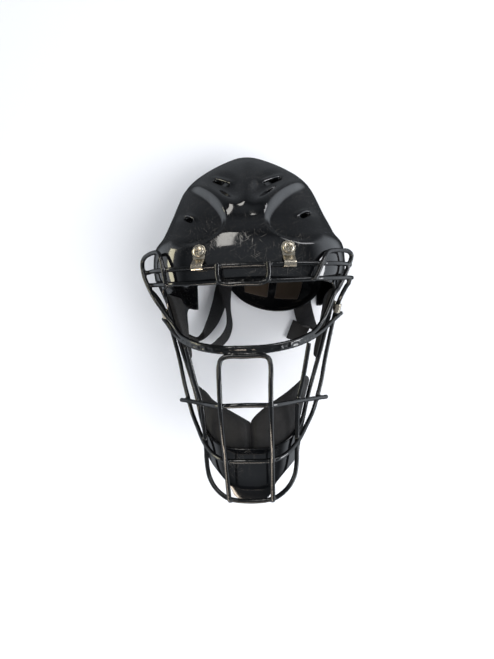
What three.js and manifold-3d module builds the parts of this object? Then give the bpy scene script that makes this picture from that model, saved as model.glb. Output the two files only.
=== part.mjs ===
// A hockey-style catcher helmet, lying on its back with the face up: a moulded shell with a welded wire cage.
// Millimetres. +Z comes out of the face, +Y runs from the chin to the crown, X is the wearer's left and right.
// The origin is the middle of the helmet's outline on the surface that it lies on.

import * as THREE from "three";
import { mergeVertices } from "three/addons/utils/BufferGeometryUtils.js";
import Module from "manifold-3d";

const wasm = await Module();
wasm.setup();

// ---------------------------------------------------------------- driving dimensions

const WALL = 4; // shell
const GAP = 0.35; // clearance between pieces that touch
const WIRE_RADIUS = 2.4;
const WIRE_SIDES = 7;
const CROWN_Y = 210;
const CHIN_Y = -172.5;
const CENTRE_Y = (CROWN_Y + CHIN_Y) / 2; // middle of the outline

const SHELL_ROWS = 28;
const FRONT_COLUMNS = 26;
const BACK_COLUMNS = 12;

// Sections of the shell's outer face, chin to crown: height y, half width, depth z of the widest place, depth of the
// front and of the back, and the powers of the superellipse in front of and behind the widest place.
const SECTIONS = [
  //  y   half  wide  front  back  fpow  bpow
  [-180, 43.0, 148, 199, 60, 2.8, 3.0],
  [-150, 47.5, 147, 207, 55, 2.8, 3.0],
  [-122, 51.5, 145, 207, 45, 2.9, 3.2],
  [-100, 56.5, 142, 206, 30, 3.4, 3.6],
  [-70, 65.0, 125, 203, 0, 3.6, 4.2],
  [-25, 80.0, 102, 200, -22, 4.0, 5.0],
  [10, 90.0, 96, 203, -26, 4.0, 5.6],
  [35, 96.0, 96, 210, -26, 4.0, 5.6],
  [48, 102.0, 108, 216, -26, 3.2, 5.2],
  [58, 106.5, 118, 218, -25, 2.8, 4.6],
  [74, 107.5, 120, 218, -20, 2.8, 4.0],
  [90, 105.5, 120, 216, -12, 2.7, 3.4],
  [103, 99.0, 112, 210, -5, 2.5, 3.0],
  [116, 94.5, 105, 202, 0, 2.4, 2.7],
  [130, 88.5, 103, 193, 2, 2.4, 2.5],
  [148, 82.5, 100, 178, 5, 2.3, 2.4],
  [164, 76.0, 98, 163, 13, 2.2, 2.3],
  [178, 64.5, 96.5, 148, 26, 2.1, 2.2],
  [191, 47.0, 95.5, 131, 44, 2.0, 2.1],
  [201, 29.5, 94.5, 114, 62, 2.0, 2.0],
  [207.5, 13.5, 93.8, 103, 78, 2.0, 2.0],
  [CROWN_Y, 0.0, 93.5, 93.5, 93.5, 2.0, 2.0],
];

// The crown leans a little to one side above a height, and its mouldings stand a little to the other side.
const LEAN = 0.03;
const LEAN_FROM = 90;
const MIDLINE = 2;

// The inner edge of the scoop on each side of the crown, running out past the flank: x and y, one side.
const SCOOP_EDGE = [
  [130, 192],
  [66, 167],
  [41.5, 150],
  [27, 134],
  [18.5, 115],
  [21.5, 101],
  [35, 89],
  [54, 83],
  [80, 84],
  [130, 84],
];

// The scoops: depth, the breadth of the fillet at the inner edge, and the places across where the floor starts to
// rise and where it meets the flank.
const SCOOP = { depth: 7, fillet: 10, rise: 40, flank: 77 };

// Hollows of the crown, each on both sides: centre x and y, reach along and across its slanted axis, tilt of that
// axis from X in degrees, and depth.
const HOLLOWS = [[21, 155, 36, 17, 55, 3.5]];

// Raised ridges of the crown: from x, y to x, y, height and half breadth.
const RIDGES = [
  [0, 208, 0, 116, 3, 10],
  [2, 121, 66, 168, 2.5, 8],
];

// Vents, each on both sides: centre x and y, length, breadth, and tilt in degrees.
const VENTS = [
  [28, 161.5, 23, 7, 27],
  [61.5, 118, 14, 7, 30],
];

// The rim of the eye opening, seen from the side: y and z.
const EYE_RIM = [
  [47, 320],
  [47, 250],
  [47, 208],
  [43, 180],
  [33, 158],
  [12, 149],
  [-30, 149],
  [-63, 157],
  [-86, 170],
  [-101.5, 187],
  [-112.5, 200],
  [-118.5, 207],
  [-121.5, 240],
  [-121.5, 320],
];

// The lower edge of the side walls and jaw, seen from the side: y and z, from the resting plane to the chin.
const JAW_EDGE = [
  [30, -60],
  [30, -5],
  [30, 25],
  [23, 50],
  [5, 69],
  [-12, 90],
  [-30, 116],
  [-50, 131],
  [-75, 139],
  [-100, 145],
  [-130, 149],
  [-200, 149],
  [-200, -60],
];

// The lower edge of the chin, seen from the front: x and y, one side.
const CHIN_EDGE = [
  [0, CHIN_Y],
  [13, -171.5],
  [18.5, -167.5],
  [22, -159.5],
  [29, -150.5],
  [41, -139.5],
  [48, -135],
  [70, -130],
];

// The arch between the side walls at the back: half width, and the heights of its foot, its shoulder and its top.
const ARCH = { halfWidth: 83, foot: 20, shoulder: 62, top: 106 };

// ---------------------------------------------------------------- small tools

const { clamp, degToRad, lerp, smoothstep } = THREE.MathUtils;

// A Catmull-Rom reading of a table of rows at a fractional row number.
function readTable(rows, place) {
  const i = clamp(Math.floor(place), 0, rows.length - 2);
  const t = place - i;
  const row = (k) => rows[clamp(k, 0, rows.length - 1)];
  return rows[0].map((_, c) => {
    const [a, b, d, e] = [row(i - 1)[c], row(i)[c], row(i + 1)[c], row(i + 2)[c]];
    const cubic = (3 * (b - d) + e - a) * t;
    return b + 0.5 * t * (d - a + t * (2 * a - 5 * b + 4 * d - e + cubic));
  });
}

// The argument between low and high at which a rising function takes a value.
function solveRising(f, value, low, high) {
  for (let i = 0; i < 40; i++) {
    const middle = (low + high) / 2;
    if (f(middle) < value) low = middle;
    else high = middle;
  }
  return (low + high) / 2;
}

function solidOf(geometry) {
  const bare = geometry.clone();
  bare.deleteAttribute("normal");
  bare.deleteAttribute("uv");
  const merged = mergeVertices(bare, 1e-3);
  return new wasm.Manifold(
    new wasm.Mesh({
      numProp: 3,
      vertProperties: merged.getAttribute("position").array,
      triVerts: new Uint32Array(merged.index.array),
    }),
  );
}

function geometryOf(solid) {
  const mesh = solid.getMesh();
  const stride = mesh.numProp;
  const positions = new Float32Array(mesh.numVert * 3);
  for (let i = 0; i < mesh.numVert; i++) {
    positions.set(mesh.vertProperties.subarray(i * stride, i * stride + 3), 3 * i);
  }
  const geometry = new THREE.BufferGeometry();
  geometry.setAttribute("position", new THREE.BufferAttribute(positions, 3));
  geometry.setIndex(new THREE.BufferAttribute(new Uint32Array(mesh.triVerts), 1));
  const flat = geometry.toNonIndexed();
  flat.computeVertexNormals();
  return flat;
}

// A closed body between two sheets, each a function of u and v from 0 to 1 that gives a Vector3.
function slab(upper, lower, uSteps, vSteps) {
  const positions = [];
  const indices = [];
  const across = vSteps + 1;
  const layer = (uSteps + 1) * across;
  for (const sheet of [upper, lower]) {
    for (let i = 0; i <= uSteps; i++) {
      for (let j = 0; j <= vSteps; j++) {
        positions.push(...sheet(i / uSteps, j / vSteps).toArray());
      }
    }
  }
  const quad = (a, b, c, d) => indices.push(a, b, c, a, c, d);
  for (let i = 0; i < uSteps; i++) {
    for (let j = 0; j < vSteps; j++) {
      const a = i * across + j;
      quad(a, a + across, a + across + 1, a + 1);
      quad(layer + a, layer + a + 1, layer + a + across + 1, layer + a + across);
    }
  }
  for (let i = 0; i < uSteps; i++) {
    const first = i * across;
    const last = first + vSteps;
    quad(first, layer + first, layer + first + across, first + across);
    quad(last + across, layer + last + across, layer + last, last);
  }
  for (let j = 0; j < vSteps; j++) {
    const start = j;
    const end = uSteps * across + j;
    quad(start + 1, layer + start + 1, layer + start, start);
    quad(end, layer + end, layer + end + 1, end + 1);
  }
  const geometry = new THREE.BufferGeometry();
  geometry.setAttribute("position", new THREE.BufferAttribute(new Float32Array(positions), 3));
  geometry.setIndex(indices);
  const solid = solidOf(geometry);
  if (solid.volume() > 0) return geometry.toNonIndexed();
  for (let i = 0; i < indices.length; i += 3) {
    [indices[i], indices[i + 1]] = [indices[i + 1], indices[i]];
  }
  geometry.setIndex(indices);
  return geometry.toNonIndexed();
}

// A prism with an outline in the Y-Z plane, along all of X.
function sidePrism(outline, halfWidth = 200) {
  const shape = new THREE.Shape(outline.map(([y, z]) => new THREE.Vector2(y, z)));
  const prism = new THREE.ExtrudeGeometry(shape, { depth: 2 * halfWidth, bevelEnabled: false });
  const axes = new THREE.Matrix4().makeBasis(
    new THREE.Vector3(0, 1, 0),
    new THREE.Vector3(0, 0, 1),
    new THREE.Vector3(1, 0, 0),
  );
  return prism.applyMatrix4(axes).translate(-halfWidth, 0, 0);
}

// A prism with an outline in the X-Y plane, between two depths.
function frontPrism(shape, low, high) {
  const prism = new THREE.ExtrudeGeometry(shape, { depth: high - low, bevelEnabled: false, curveSegments: 6 });
  return prism.translate(0, 0, low);
}

function mirrored(rows) {
  return rows.map(([x, ...rest]) => [-x, ...rest]);
}

// ---------------------------------------------------------------- the shell's outer face

// How far a place lies inside a closed outline in a plane; negative outside.
function depthInside(outline, x, y) {
  let nearest = Infinity;
  let inside = false;
  outline.forEach(([ax, ay], i) => {
    const [bx, by] = outline[(i + 1) % outline.length];
    const along = ((x - ax) * (bx - ax) + (y - ay) * (by - ay)) / ((bx - ax) ** 2 + (by - ay) ** 2);
    const t = clamp(along, 0, 1);
    nearest = Math.min(nearest, Math.hypot(x - lerp(ax, bx, t), y - lerp(ay, by, t)));
    if (ay > y !== by > y && x < ax + ((y - ay) * (bx - ax)) / (by - ay)) inside = !inside;
  });
  return inside ? nearest : -nearest;
}

// How far the crown's scoops, hollows and ridges move the face outwards at a place on its front.
function sculpture(x, y) {
  const side = Math.abs(x - MIDLINE);
  const floor = clamp((SCOOP.flank - side) / (SCOOP.flank - SCOOP.rise), 0, 1);
  let move = -SCOOP.depth * smoothstep(depthInside(SCOOP_EDGE, side, y), 0, SCOOP.fillet) * floor;
  for (const [cx, cy, along, across, tilt, depth] of HOLLOWS) {
    const turn = degToRad(tilt);
    const a = ((side - cx) * Math.cos(turn) + (y - cy) * Math.sin(turn)) / along;
    const b = ((y - cy) * Math.cos(turn) - (side - cx) * Math.sin(turn)) / across;
    move -= depth * smoothstep(1 - Math.hypot(a, b), 0, 1);
  }
  for (const [x0, y0, x1, y1, height, breadth] of RIDGES) {
    const run = (x1 - x0) ** 2 + (y1 - y0) ** 2;
    const t = clamp(((side - x0) * (x1 - x0) + (y - y0) * (y1 - y0)) / run, 0, 1);
    const off = Math.hypot(side - lerp(x0, x1, t), y - lerp(y0, y1, t));
    move += height * Math.exp(-((off / breadth) ** 2)) * smoothstep(t, -0.01, 0.25) * smoothstep(1 - t, -0.01, 0.25);
  }
  return move;
}

// The plain face, before the sculpture: row number in SECTIONS and angle round the section, 90 degrees in front.
function plainFace(place, angle) {
  const [y, half, widest, front, back, frontPower, backPower] = readTable(SECTIONS, place);
  const c = Math.cos(angle);
  const s = Math.sin(angle);
  const power = s >= 0 ? frontPower : backPower;
  const reach = s >= 0 ? front - widest : widest - back;
  const radius = (Math.abs(c) ** power + Math.abs(s) ** power) ** (-1 / power);
  const across = Math.max(half, 0) * radius * c - LEAN * Math.max(y - LEAN_FROM, 0);
  return new THREE.Vector3(across, y, widest + reach * radius * s);
}

function plainNormal(place, angle) {
  const step = 0.02;
  const last = SECTIONS.length - 1;
  const along = plainFace(Math.min(place + step, last), angle).sub(plainFace(Math.max(place - step, 0), angle));
  const round = plainFace(place, angle + step).sub(plainFace(place, angle - step));
  const normal = along.cross(round);
  return normal.lengthSq() < 1e-9 ? new THREE.Vector3(0, 1, 0) : normal.normalize();
}

// The finished face, moved inwards by a depth.
function shellFace(place, angle, depth = 0) {
  const last = SECTIONS.length - 1;
  if (place > last - 0.02) return plainFace(last, 0).add(new THREE.Vector3(0, -depth, 0));
  const point = plainFace(place, angle);
  const facing = smoothstep(Math.sin(angle), 0.1, 0.45);
  const move = facing * sculpture(point.x, point.y) - depth;
  return point.addScaledVector(plainNormal(place, angle), move);
}

// The row number at a height, and the place and angle of the front face at x and y.
function placeAt(y) {
  return solveRising((p) => readTable(SECTIONS, p)[0], y, 0, SECTIONS.length - 1);
}

function frontAngle(place, x) {
  return solveRising((a) => -plainFace(place, a).x, -x, 0, Math.PI);
}

// A frame on the face: Z outwards, Y towards the crown along the face, with its origin at a height above it.
function frameOn(place, angle, height) {
  const normal = plainNormal(place, angle);
  const origin = shellFace(place, angle, -height);
  const right = new THREE.Vector3(0, 1, 0).cross(normal).normalize();
  return new THREE.Matrix4().makeBasis(right, normal.clone().cross(right), normal).setPosition(origin);
}

// The whole closed face at a depth, from the chin to the crown.
function faceSolid(depth) {
  const columns = FRONT_COLUMNS + BACK_COLUMNS;
  const angleOf = (j) => {
    if (j < FRONT_COLUMNS) return (Math.PI * j) / FRONT_COLUMNS;
    return Math.PI + (Math.PI * (j - FRONT_COLUMNS)) / BACK_COLUMNS;
  };
  const last = SECTIONS.length - 1;
  const positions = [];
  for (let i = 0; i < SHELL_ROWS; i++) {
    const place = last * (i / SHELL_ROWS);
    for (let j = 0; j < columns; j++) positions.push(...shellFace(place, angleOf(j), depth).toArray());
  }
  const foot = positions.length / 3;
  const [footY, , footZ] = SECTIONS[0];
  positions.push(0, footY, footZ, ...shellFace(last, 0, depth).toArray());
  const indices = [];
  for (let j = 0; j < columns; j++) {
    const next = (j + 1) % columns;
    for (let i = 0; i < SHELL_ROWS - 1; i++) {
      const a = i * columns + j;
      const b = i * columns + next;
      indices.push(a, a + columns, b, b, a + columns, b + columns);
    }
    const top = (SHELL_ROWS - 1) * columns;
    indices.push(foot, j, next, top + j, foot + 1, top + next);
  }
  const geometry = new THREE.BufferGeometry();
  geometry.setAttribute("position", new THREE.BufferAttribute(new Float32Array(positions), 3));
  geometry.setIndex(indices);
  return solidOf(geometry);
}

// ---------------------------------------------------------------- the shell

function ventCutter([x, y, length, breadth, tilt]) {
  const half = length / 2 - breadth / 2;
  const slot = new THREE.Shape();
  slot.moveTo(-half, -breadth / 2);
  slot.lineTo(half, -breadth / 2);
  slot.absarc(half, 0, breadth / 2, -Math.PI / 2, Math.PI / 2, false);
  slot.lineTo(-half, breadth / 2);
  slot.absarc(-half, 0, breadth / 2, Math.PI / 2, (3 * Math.PI) / 2, false);
  const place = placeAt(y);
  const frame = frameOn(place, frontAngle(place, x + MIDLINE), 0);
  const turned = frontPrism(slot, -24, 14).rotateZ(degToRad(x > 0 ? tilt : -tilt));
  return solidOf(turned.applyMatrix4(frame));
}

function archCutter() {
  const { halfWidth, foot, shoulder, top } = ARCH;
  const arch = new THREE.Shape();
  arch.moveTo(-halfWidth, foot);
  arch.lineTo(halfWidth, foot);
  arch.lineTo(halfWidth, shoulder);
  arch.bezierCurveTo(halfWidth, lerp(shoulder, top, 0.75), halfWidth * 0.6, top, 0, top);
  arch.bezierCurveTo(-halfWidth * 0.6, top, -halfWidth, lerp(shoulder, top, 0.75), -halfWidth, shoulder);
  return solidOf(frontPrism(arch, -80, 60));
}

function chinCutter() {
  const left = mirrored(CHIN_EDGE).slice(1).reverse();
  const edge = [...left, ...CHIN_EDGE, [70, -230], [-70, -230]];
  const shape = new THREE.Shape(edge.map(([x, y]) => new THREE.Vector2(x, y)));
  return solidOf(frontPrism(shape, 100, 300));
}

function buildShell() {
  const cutters = [
    solidOf(sidePrism(EYE_RIM)),
    solidOf(sidePrism(JAW_EDGE)),
    solidOf(new THREE.BoxGeometry(400, 600, 100).translate(0, 0, -50)),
    archCutter(),
    chinCutter(),
    ...[...VENTS, ...mirrored(VENTS)].map(ventCutter),
  ];
  let shell = faceSolid(0).subtract(faceSolid(WALL));
  for (const cutter of cutters) shell = shell.subtract(cutter);
  return geometryOf(shell);
}

// ---------------------------------------------------------------- the cage

// A smooth curve through hand-set points, read at stations that are close together only where it bends.
class BentWire extends THREE.Curve {
  constructor(points, mostTurn = 20, longest = 40) {
    super();
    this.smooth = new THREE.CatmullRomCurve3(
      points.map((p) => new THREE.Vector3(...p)),
      false,
      "centripetal",
    );
    this.stations = [0];
    const fine = 600;
    const length = this.smooth.getLength();
    let from = this.smooth.getTangent(0);
    let since = 0;
    for (let i = 1; i < fine; i++) {
      const here = this.smooth.getTangent(i / fine);
      since = length * (i / fine) - length * this.stations.at(-1);
      if (from.angleTo(here) > degToRad(mostTurn) || since > longest) {
        this.stations.push(i / fine);
        from = here;
      }
    }
    this.stations.push(1);
  }

  get steps() {
    return this.stations.length - 1;
  }

  getPoint(t, target = new THREE.Vector3()) {
    const at = clamp(t, 0, 1) * this.steps;
    const i = Math.min(Math.floor(at), this.steps - 1);
    return this.smooth.getPoint(lerp(this.stations[i], this.stations[i + 1], at - i), target);
  }

  getPointAt(u, target) {
    return this.getPoint(u, target);
  }

  getTangentAt(u, target) {
    return this.getTangent(u, target);
  }
}

// Routes of the wires' centre lines, from the middle of the helmet to one side: x, y and z.
const UPPER_BROW_BAR = [
  [0, 62, 226],
  [24.5, 62, 224.7],
  [45, 62.1, 219.8],
  [63, 62.4, 214],
  [78, 62.8, 206.8],
  [92, 63.9, 194],
  [102, 64.6, 180.5],
  [109.5, 65, 167.5],
];
const LOWER_BROW_BAR = [
  [0, 46.3, 226],
  [24.5, 46.3, 224.8],
  [45, 46.5, 219.8],
  [60, 47, 215.2],
  [72.5, 47.7, 210.4],
  [85, 48.7, 198.5],
  [97, 50, 184],
  [105.8, 51.3, 170.3],
  [109.6, 52, 162],
  [112.5, 52.5, 154],
];
const RIGHT_EYE_LOOP = [
  [68.2, 45.8, 216],
  [71.3, 51.1, 214.5],
  [75.7, 60.5, 211.5],
  [79.7, 69, 207],
  [83.6, 74.6, 201.5],
  [90, 77, 194],
  [99.2, 78.2, 184],
  [106.4, 77.9, 177.5],
  [110.1, 74.6, 173.5],
  [109.6, 70.4, 172.6],
  [107.3, 64.7, 173],
  [104.3, 57.8, 174.5],
  [100.1, 49.3, 177.5],
  [95.2, 40.8, 182],
  [89.2, 32.9, 188],
];
const LEFT_EYE_LOOP = [
  [-80, 47.8, 208.5],
  [-80.7, 53.9, 208.5],
  [-83, 66.7, 207],
  [-86.1, 77.2, 203],
  [-89.7, 81.9, 198.5],
  [-95.6, 82.9, 192],
  [-103.1, 82.3, 184],
  [-109, 80.6, 177.5],
  [-112.5, 77.4, 173.5],
  [-113.3, 72.9, 172.6],
  [-112.8, 67.4, 173],
  [-111.2, 60.7, 174.5],
  [-107.5, 52.2, 177.5],
  [-102.3, 43.1, 182],
  [-96.1, 34, 188],
];
const UNDER_EYES = [
  [78, 9.5, 194],
  [67.5, -3.4, 205],
  [59, -8, 214.6],
  [44, -13.1, 227.4],
  [22, -16.5, 237.6],
];
const EYE_BAR = [
  [0, -21, 238],
  [22, -20.3, 236.6],
  [44, -17, 226.2],
  [61, -11.6, 210.6],
  [74, -5, 191],
  [85, 2.8, 168],
  [95.5, 10.6, 144],
  [103, 15.6, 128],
];
const OUTER_RING = [
  [0, -126, 227],
  [22.4, -125.6, 224.9],
  [34, -123, 216.6],
  [46.8, -114.5, 199.6],
  [57, -102, 180],
  [65.5, -89, 164.5],
  [71, -75, 155.3],
  [76, -60, 148.5],
  [82, -34, 142],
  [88.5, -8, 139.5],
  [93.2, 11, 140.3],
  [99.5, 30, 146],
  [105, 42, 157],
  [108, 46.6, 164.5],
];
const LOWER_RING = [
  [0, -168.5, 214.8],
  [21.4, -166.4, 213.6],
  [30, -162.6, 210],
  [38, -156, 205],
  [43.4, -147, 200],
  [45.8, -134, 196.6],
  [46.4, -118, 195.4],
  [47.2, -100, 196.8],
  [49, -73, 200.7],
  [54.5, -50, 203.4],
  [58.5, -30, 206.2],
  [61.3, -15.3, 208.6],
];
const MOUTH_BAR = [
  [0, -69.4, 247],
  [23.4, -70, 244.6],
  [38, -71, 227],
  [49.6, -72.5, 204.9],
  [60.5, -74.4, 182],
  [71.6, -76.2, 159.5],
  [82.3, -78, 140],
];
const CENTRE_HOOP = [
  [0, -25, 239.9],
  [17.5, -25, 240],
  [22, -27, 240.8],
  [23.9, -33, 243],
  [23.6, -52, 248.6],
  [23.2, -73, 248.9],
  [22.7, -105, 238.8],
  [22.3, -126, 229.6],
  [21.4, -163, 218.7],
  [21.3, -166.8, 217.7],
];
const BROW_STUB = [
  [0, 44, 229.8],
  [17, 44, 229.5],
  [22.6, 46, 229.2],
  [24.5, 51.5, 229],
  [24.5, 64.5, 228.9],
];

function wire(points) {
  const path = new BentWire(points);
  const section = new THREE.Shape();
  for (let i = 0; i < WIRE_SIDES; i++) {
    const angle = (2 * Math.PI * i) / WIRE_SIDES;
    const [x, y] = [WIRE_RADIUS * Math.cos(angle), WIRE_RADIUS * Math.sin(angle)];
    if (i) section.lineTo(x, y);
    else section.moveTo(x, y);
  }
  return solidOf(new THREE.ExtrudeGeometry(section, { steps: path.steps, bevelEnabled: false, extrudePath: path }));
}

// A route over both sides, from its half.
function bothSides(half) {
  return [...mirrored(half.slice(1)).reverse(), ...half];
}

// The eye ring's halves meet over the eye bar, a little to one side of the middle.
function eyeRings() {
  const seam = -9;
  const [, y, z] = EYE_BAR[0];
  const over = (x) => [x, y + 3.9, z + 1.2];
  return [
    [...RIGHT_EYE_LOOP, ...UNDER_EYES, over(seam + 12), over(seam + 1.2)],
    [...LEFT_EYE_LOOP, ...mirrored(UNDER_EYES), over(seam - 1.2)],
  ];
}

function buildCage() {
  const halves = [
    UPPER_BROW_BAR,
    LOWER_BROW_BAR,
    EYE_BAR,
    OUTER_RING,
    LOWER_RING,
    MOUTH_BAR,
    CENTRE_HOOP,
    BROW_STUB,
  ];
  const routes = [...eyeRings(), ...halves.map(bothSides)];
  return geometryOf(routes.map(wire).reduce((whole, one) => whole.add(one)));
}

// ---------------------------------------------------------------- clips and screws

const SCREW = { x: 43.8, y: 78, headRadius: 5.8, headHeight: 3, recess: 1.5, slot: 1.4, slotLength: 6.4 };
const CLIP = { thickness: 1.2, plateRadius: 7.2, width: 12, lipRadius: WIRE_RADIUS + 2.5 * GAP };

// A screw with a low domed head and a cross recess, standing on z = 0.
function crossScrew(headRadius) {
  const { headHeight, recess, slot, slotLength } = SCREW;
  const profile = [new THREE.Vector2(0, 0), new THREE.Vector2(headRadius, 0), new THREE.Vector2(headRadius, 0.8)];
  for (const turn of [30, 60]) {
    const a = degToRad(turn);
    profile.push(new THREE.Vector2(headRadius * Math.cos(a), 0.8 + (headHeight - 0.8) * Math.sin(a)));
  }
  profile.push(new THREE.Vector2(0, headHeight));
  const head = solidOf(new THREE.LatheGeometry(profile, 12).rotateX(Math.PI / 2));
  const arm = new THREE.BoxGeometry(slotLength, slot, 2 * recess).translate(0, 0, headHeight);
  const cross = solidOf(arm).add(solidOf(arm.clone().rotateZ(Math.PI / 2)));
  return geometryOf(head.subtract(cross));
}

// A strap of even thickness along a centre line in the Y-Z plane, as wide as asked along X.
function bentStrap(line, thickness, width) {
  const curve = line.map(([y, z]) => new THREE.Vector2(y, z));
  const sideOf = (i, sign) => {
    const before = curve[Math.max(i - 1, 0)];
    const after = curve[Math.min(i + 1, curve.length - 1)];
    const along = after.clone().sub(before).normalize();
    return [curve[i].x - (sign * along.y * thickness) / 2, curve[i].y + (sign * along.x * thickness) / 2];
  };
  const left = curve.map((_, i) => sideOf(i, 1));
  const right = curve.map((_, i) => sideOf(i, -1)).reverse();
  return solidOf(sidePrism([...left, ...right], width / 2));
}

// Points round a bar in the Y-Z plane, from one angle to another in degrees.
function roundBar(y, z, radius, from, to, count = 8) {
  return Array.from({ length: count + 1 }, (_, i) => {
    const angle = degToRad(lerp(from, to, i / count));
    return [y + radius * Math.cos(angle), z + radius * Math.sin(angle)];
  });
}

// A brow clip: a round plate under the screw, a neck, and a lip over the upper brow bar.
function browClip(barY, barZ) {
  const { thickness, plateRadius, width, lipRadius } = CLIP;
  const middle = thickness / 2;
  const reach = lipRadius + middle;
  const strap = bentStrap(
    [
      [plateRadius, middle],
      [barY + 8.5, middle],
      ...roundBar(barY, barZ, reach, 50, 140),
    ],
    thickness,
    2 * plateRadius,
  );
  const outline = new THREE.Shape();
  outline.moveTo(-width / 2, -40);
  outline.lineTo(width / 2, -40);
  const edge = Math.acos(width / 2 / plateRadius);
  outline.lineTo(width / 2, -plateRadius * Math.sin(edge));
  outline.absarc(0, 0, plateRadius, -edge, Math.PI + edge, false);
  return geometryOf(strap.intersect(solidOf(frontPrism(outline, -20, 40))));
}

// The place of a wire's half route where it crosses x = 0 of a frame, in that frame.
function barInFrame(route, frame) {
  const inverse = frame.clone().invert();
  const curve = new THREE.CatmullRomCurve3(
    route.map((p) => new THREE.Vector3(...p)),
    false,
    "centripetal",
  );
  const local = (t) => curve.getPoint(t).applyMatrix4(inverse);
  return local(solveRising((t) => local(t).x, 0, 0, 1));
}

function browFixing(side) {
  const place = placeAt(SCREW.y);
  const right = frameOn(place, frontAngle(place, SCREW.x), GAP);
  const bar = barInFrame(UPPER_BROW_BAR, right);
  const frame = frameOn(place, frontAngle(place, side * SCREW.x), GAP);
  const clip = browClip(bar.y, bar.z).applyMatrix4(frame);
  const head = crossScrew(SCREW.headRadius).translate(0, 0, CLIP.thickness + GAP);
  return { clip, screw: head.applyMatrix4(frame) };
}

// Side clips: a flat tab on the side wall, rolled round the outer ring.
const SIDE_CLIP = { y: 21, tab: 14, width: 9, thickness: 1.2, headRadius: 4, play: 1.1 };

function sideFixing(side) {
  const { y, tab, width, thickness, headRadius, play } = SIDE_CLIP;
  const ring = new THREE.CatmullRomCurve3(
    OUTER_RING.map((p) => new THREE.Vector3(...p)),
    false,
    "centripetal",
  );
  const t = solveRising((u) => ring.getPoint(u).y, y, 0, 1);
  const centre = ring.getPoint(t);
  const place = placeAt(y);
  const wallAngle = degToRad(12);
  const outward = plainNormal(place, wallAngle);
  const along = ring.getTangent(t);
  along.addScaledVector(outward, -along.dot(outward)).normalize();
  const back = outward.clone().cross(along);
  if (back.z > 0) back.negate();
  const basis = new THREE.Matrix4().makeBasis(back.clone().cross(outward), back, outward).setPosition(centre);
  const wall = plainFace(place, wallAngle).sub(centre).dot(outward);
  const seat = wall + 2 * GAP + thickness / 2;
  const reach = WIRE_RADIUS + play + thickness / 2;
  const line = [[reach + 3 + tab, seat], [reach + 3, seat], ...roundBar(0, 0, reach, -48, 215, 9)];
  const strap = geometryOf(bentStrap(line, thickness, width)).applyMatrix4(basis);
  const stand = new THREE.Matrix4().makeTranslation(0, reach + tab - 2, seat + thickness / 2 + GAP);
  const screw = crossScrew(headRadius).applyMatrix4(stand).applyMatrix4(basis);
  if (side > 0) return { clip: strap, screw };
  return { clip: flipped(strap), screw: flipped(screw) };
}

// A geometry's mirror image in X, with its faces still outwards.
function flipped(geometry) {
  const twin = geometry.clone().scale(-1, 1, 1);
  const positions = twin.getAttribute("position");
  for (let i = 0; i < positions.count; i += 3) {
    const [a, b] = [i + 1, i + 2].map((k) => new THREE.Vector3().fromBufferAttribute(positions, k));
    positions.setXYZ(i + 1, ...b.toArray());
    positions.setXYZ(i + 2, ...a.toArray());
  }
  twin.computeVertexNormals();
  return twin;
}

// ---------------------------------------------------------------- pads

const SIDE_PAD = { thickness: 5, fromY: -34, toY: 40, frontAngle: 30, lowAngle: 15, backAngle: -8 };
const CHIN_PAD = { thickness: 24, sideY: -63, notchY: -94, footY: -166, reach: 62, slit: 1.2 };

// The room inside the shell, which the pads fill up to.
const liningRoom = faceSolid(WALL + GAP);

// A pad against the inside of the shell, between two heights and two angles.
function buildSidePad(side) {
  const { thickness, fromY, toY, frontAngle: high, lowAngle, backAngle } = SIDE_PAD;
  const sheet = (depth) => (u, v) => {
    const place = placeAt(lerp(fromY, toY, u));
    return shellFace(place, degToRad(lerp(lerp(lowAngle, backAngle, u), high, v)), depth);
  };
  const block = solidOf(slab(sheet(0), sheet(WALL + GAP + thickness), 6, 6));
  const pad = geometryOf(block.intersect(liningRoom));
  return side > 0 ? pad : flipped(pad);
}

// One lobe of the chin pad: it follows the inside of the chin and jaw, and its top slopes down to the notch.
function buildChinPad(side) {
  const { thickness, sideY, notchY, footY, reach, slit } = CHIN_PAD;
  const sheet = (inner) => (u, v) => {
    const top = lerp(notchY, sideY, Math.min(1, u * 1.15) ** 0.9);
    const foot = lerp(footY, -108, u ** 2);
    const place = placeAt(lerp(foot, top, v));
    const plump = Math.sin(Math.PI * clamp(v, 0.12, 0.88)) ** 0.35;
    const depth = inner ? WALL + GAP + thickness * plump * lerp(1, 0.62, u) : 0;
    const point = shellFace(place, degToRad(lerp(90, 90 - reach, u)), depth);
    point.x = Math.max(point.x, 0) + slit * (1 - u);
    return point;
  };
  const block = solidOf(slab(sheet(false), sheet(true), 8, 7));
  const lobe = geometryOf(block.intersect(liningRoom));
  return side > 0 ? lobe : flipped(lobe);
}

// ---------------------------------------------------------------- back plate

const PLATE = { x: 25, y: 70, halfWidth: 65, halfHeight: 46, tilt: -10, thickness: 4, floor: 1.2, rise: 19 };

// A point of the dish at u and v from -1 to 1, at a height above its lower face.
function platePoint(u, v, height) {
  const { x, y, halfWidth, halfHeight, tilt, floor, rise } = PLATE;
  const a = u * Math.sqrt(1 - (v * v) / 2);
  const b = v * Math.sqrt(1 - (u * u) / 2);
  const turn = degToRad(tilt);
  const [dx, dy] = [a * halfWidth, b * halfHeight];
  const bowl = floor + rise * (a * a + b * b) ** 1.1;
  return new THREE.Vector3(
    x + dx * Math.cos(turn) - dy * Math.sin(turn),
    y + dx * Math.sin(turn) + dy * Math.cos(turn),
    bowl + height,
  );
}

function buildBackPlate() {
  const sheet = (height) => (u, v) => platePoint(2 * u - 1, 2 * v - 1, height);
  return slab(sheet(PLATE.thickness), sheet(0), 12, 10);
}

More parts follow.
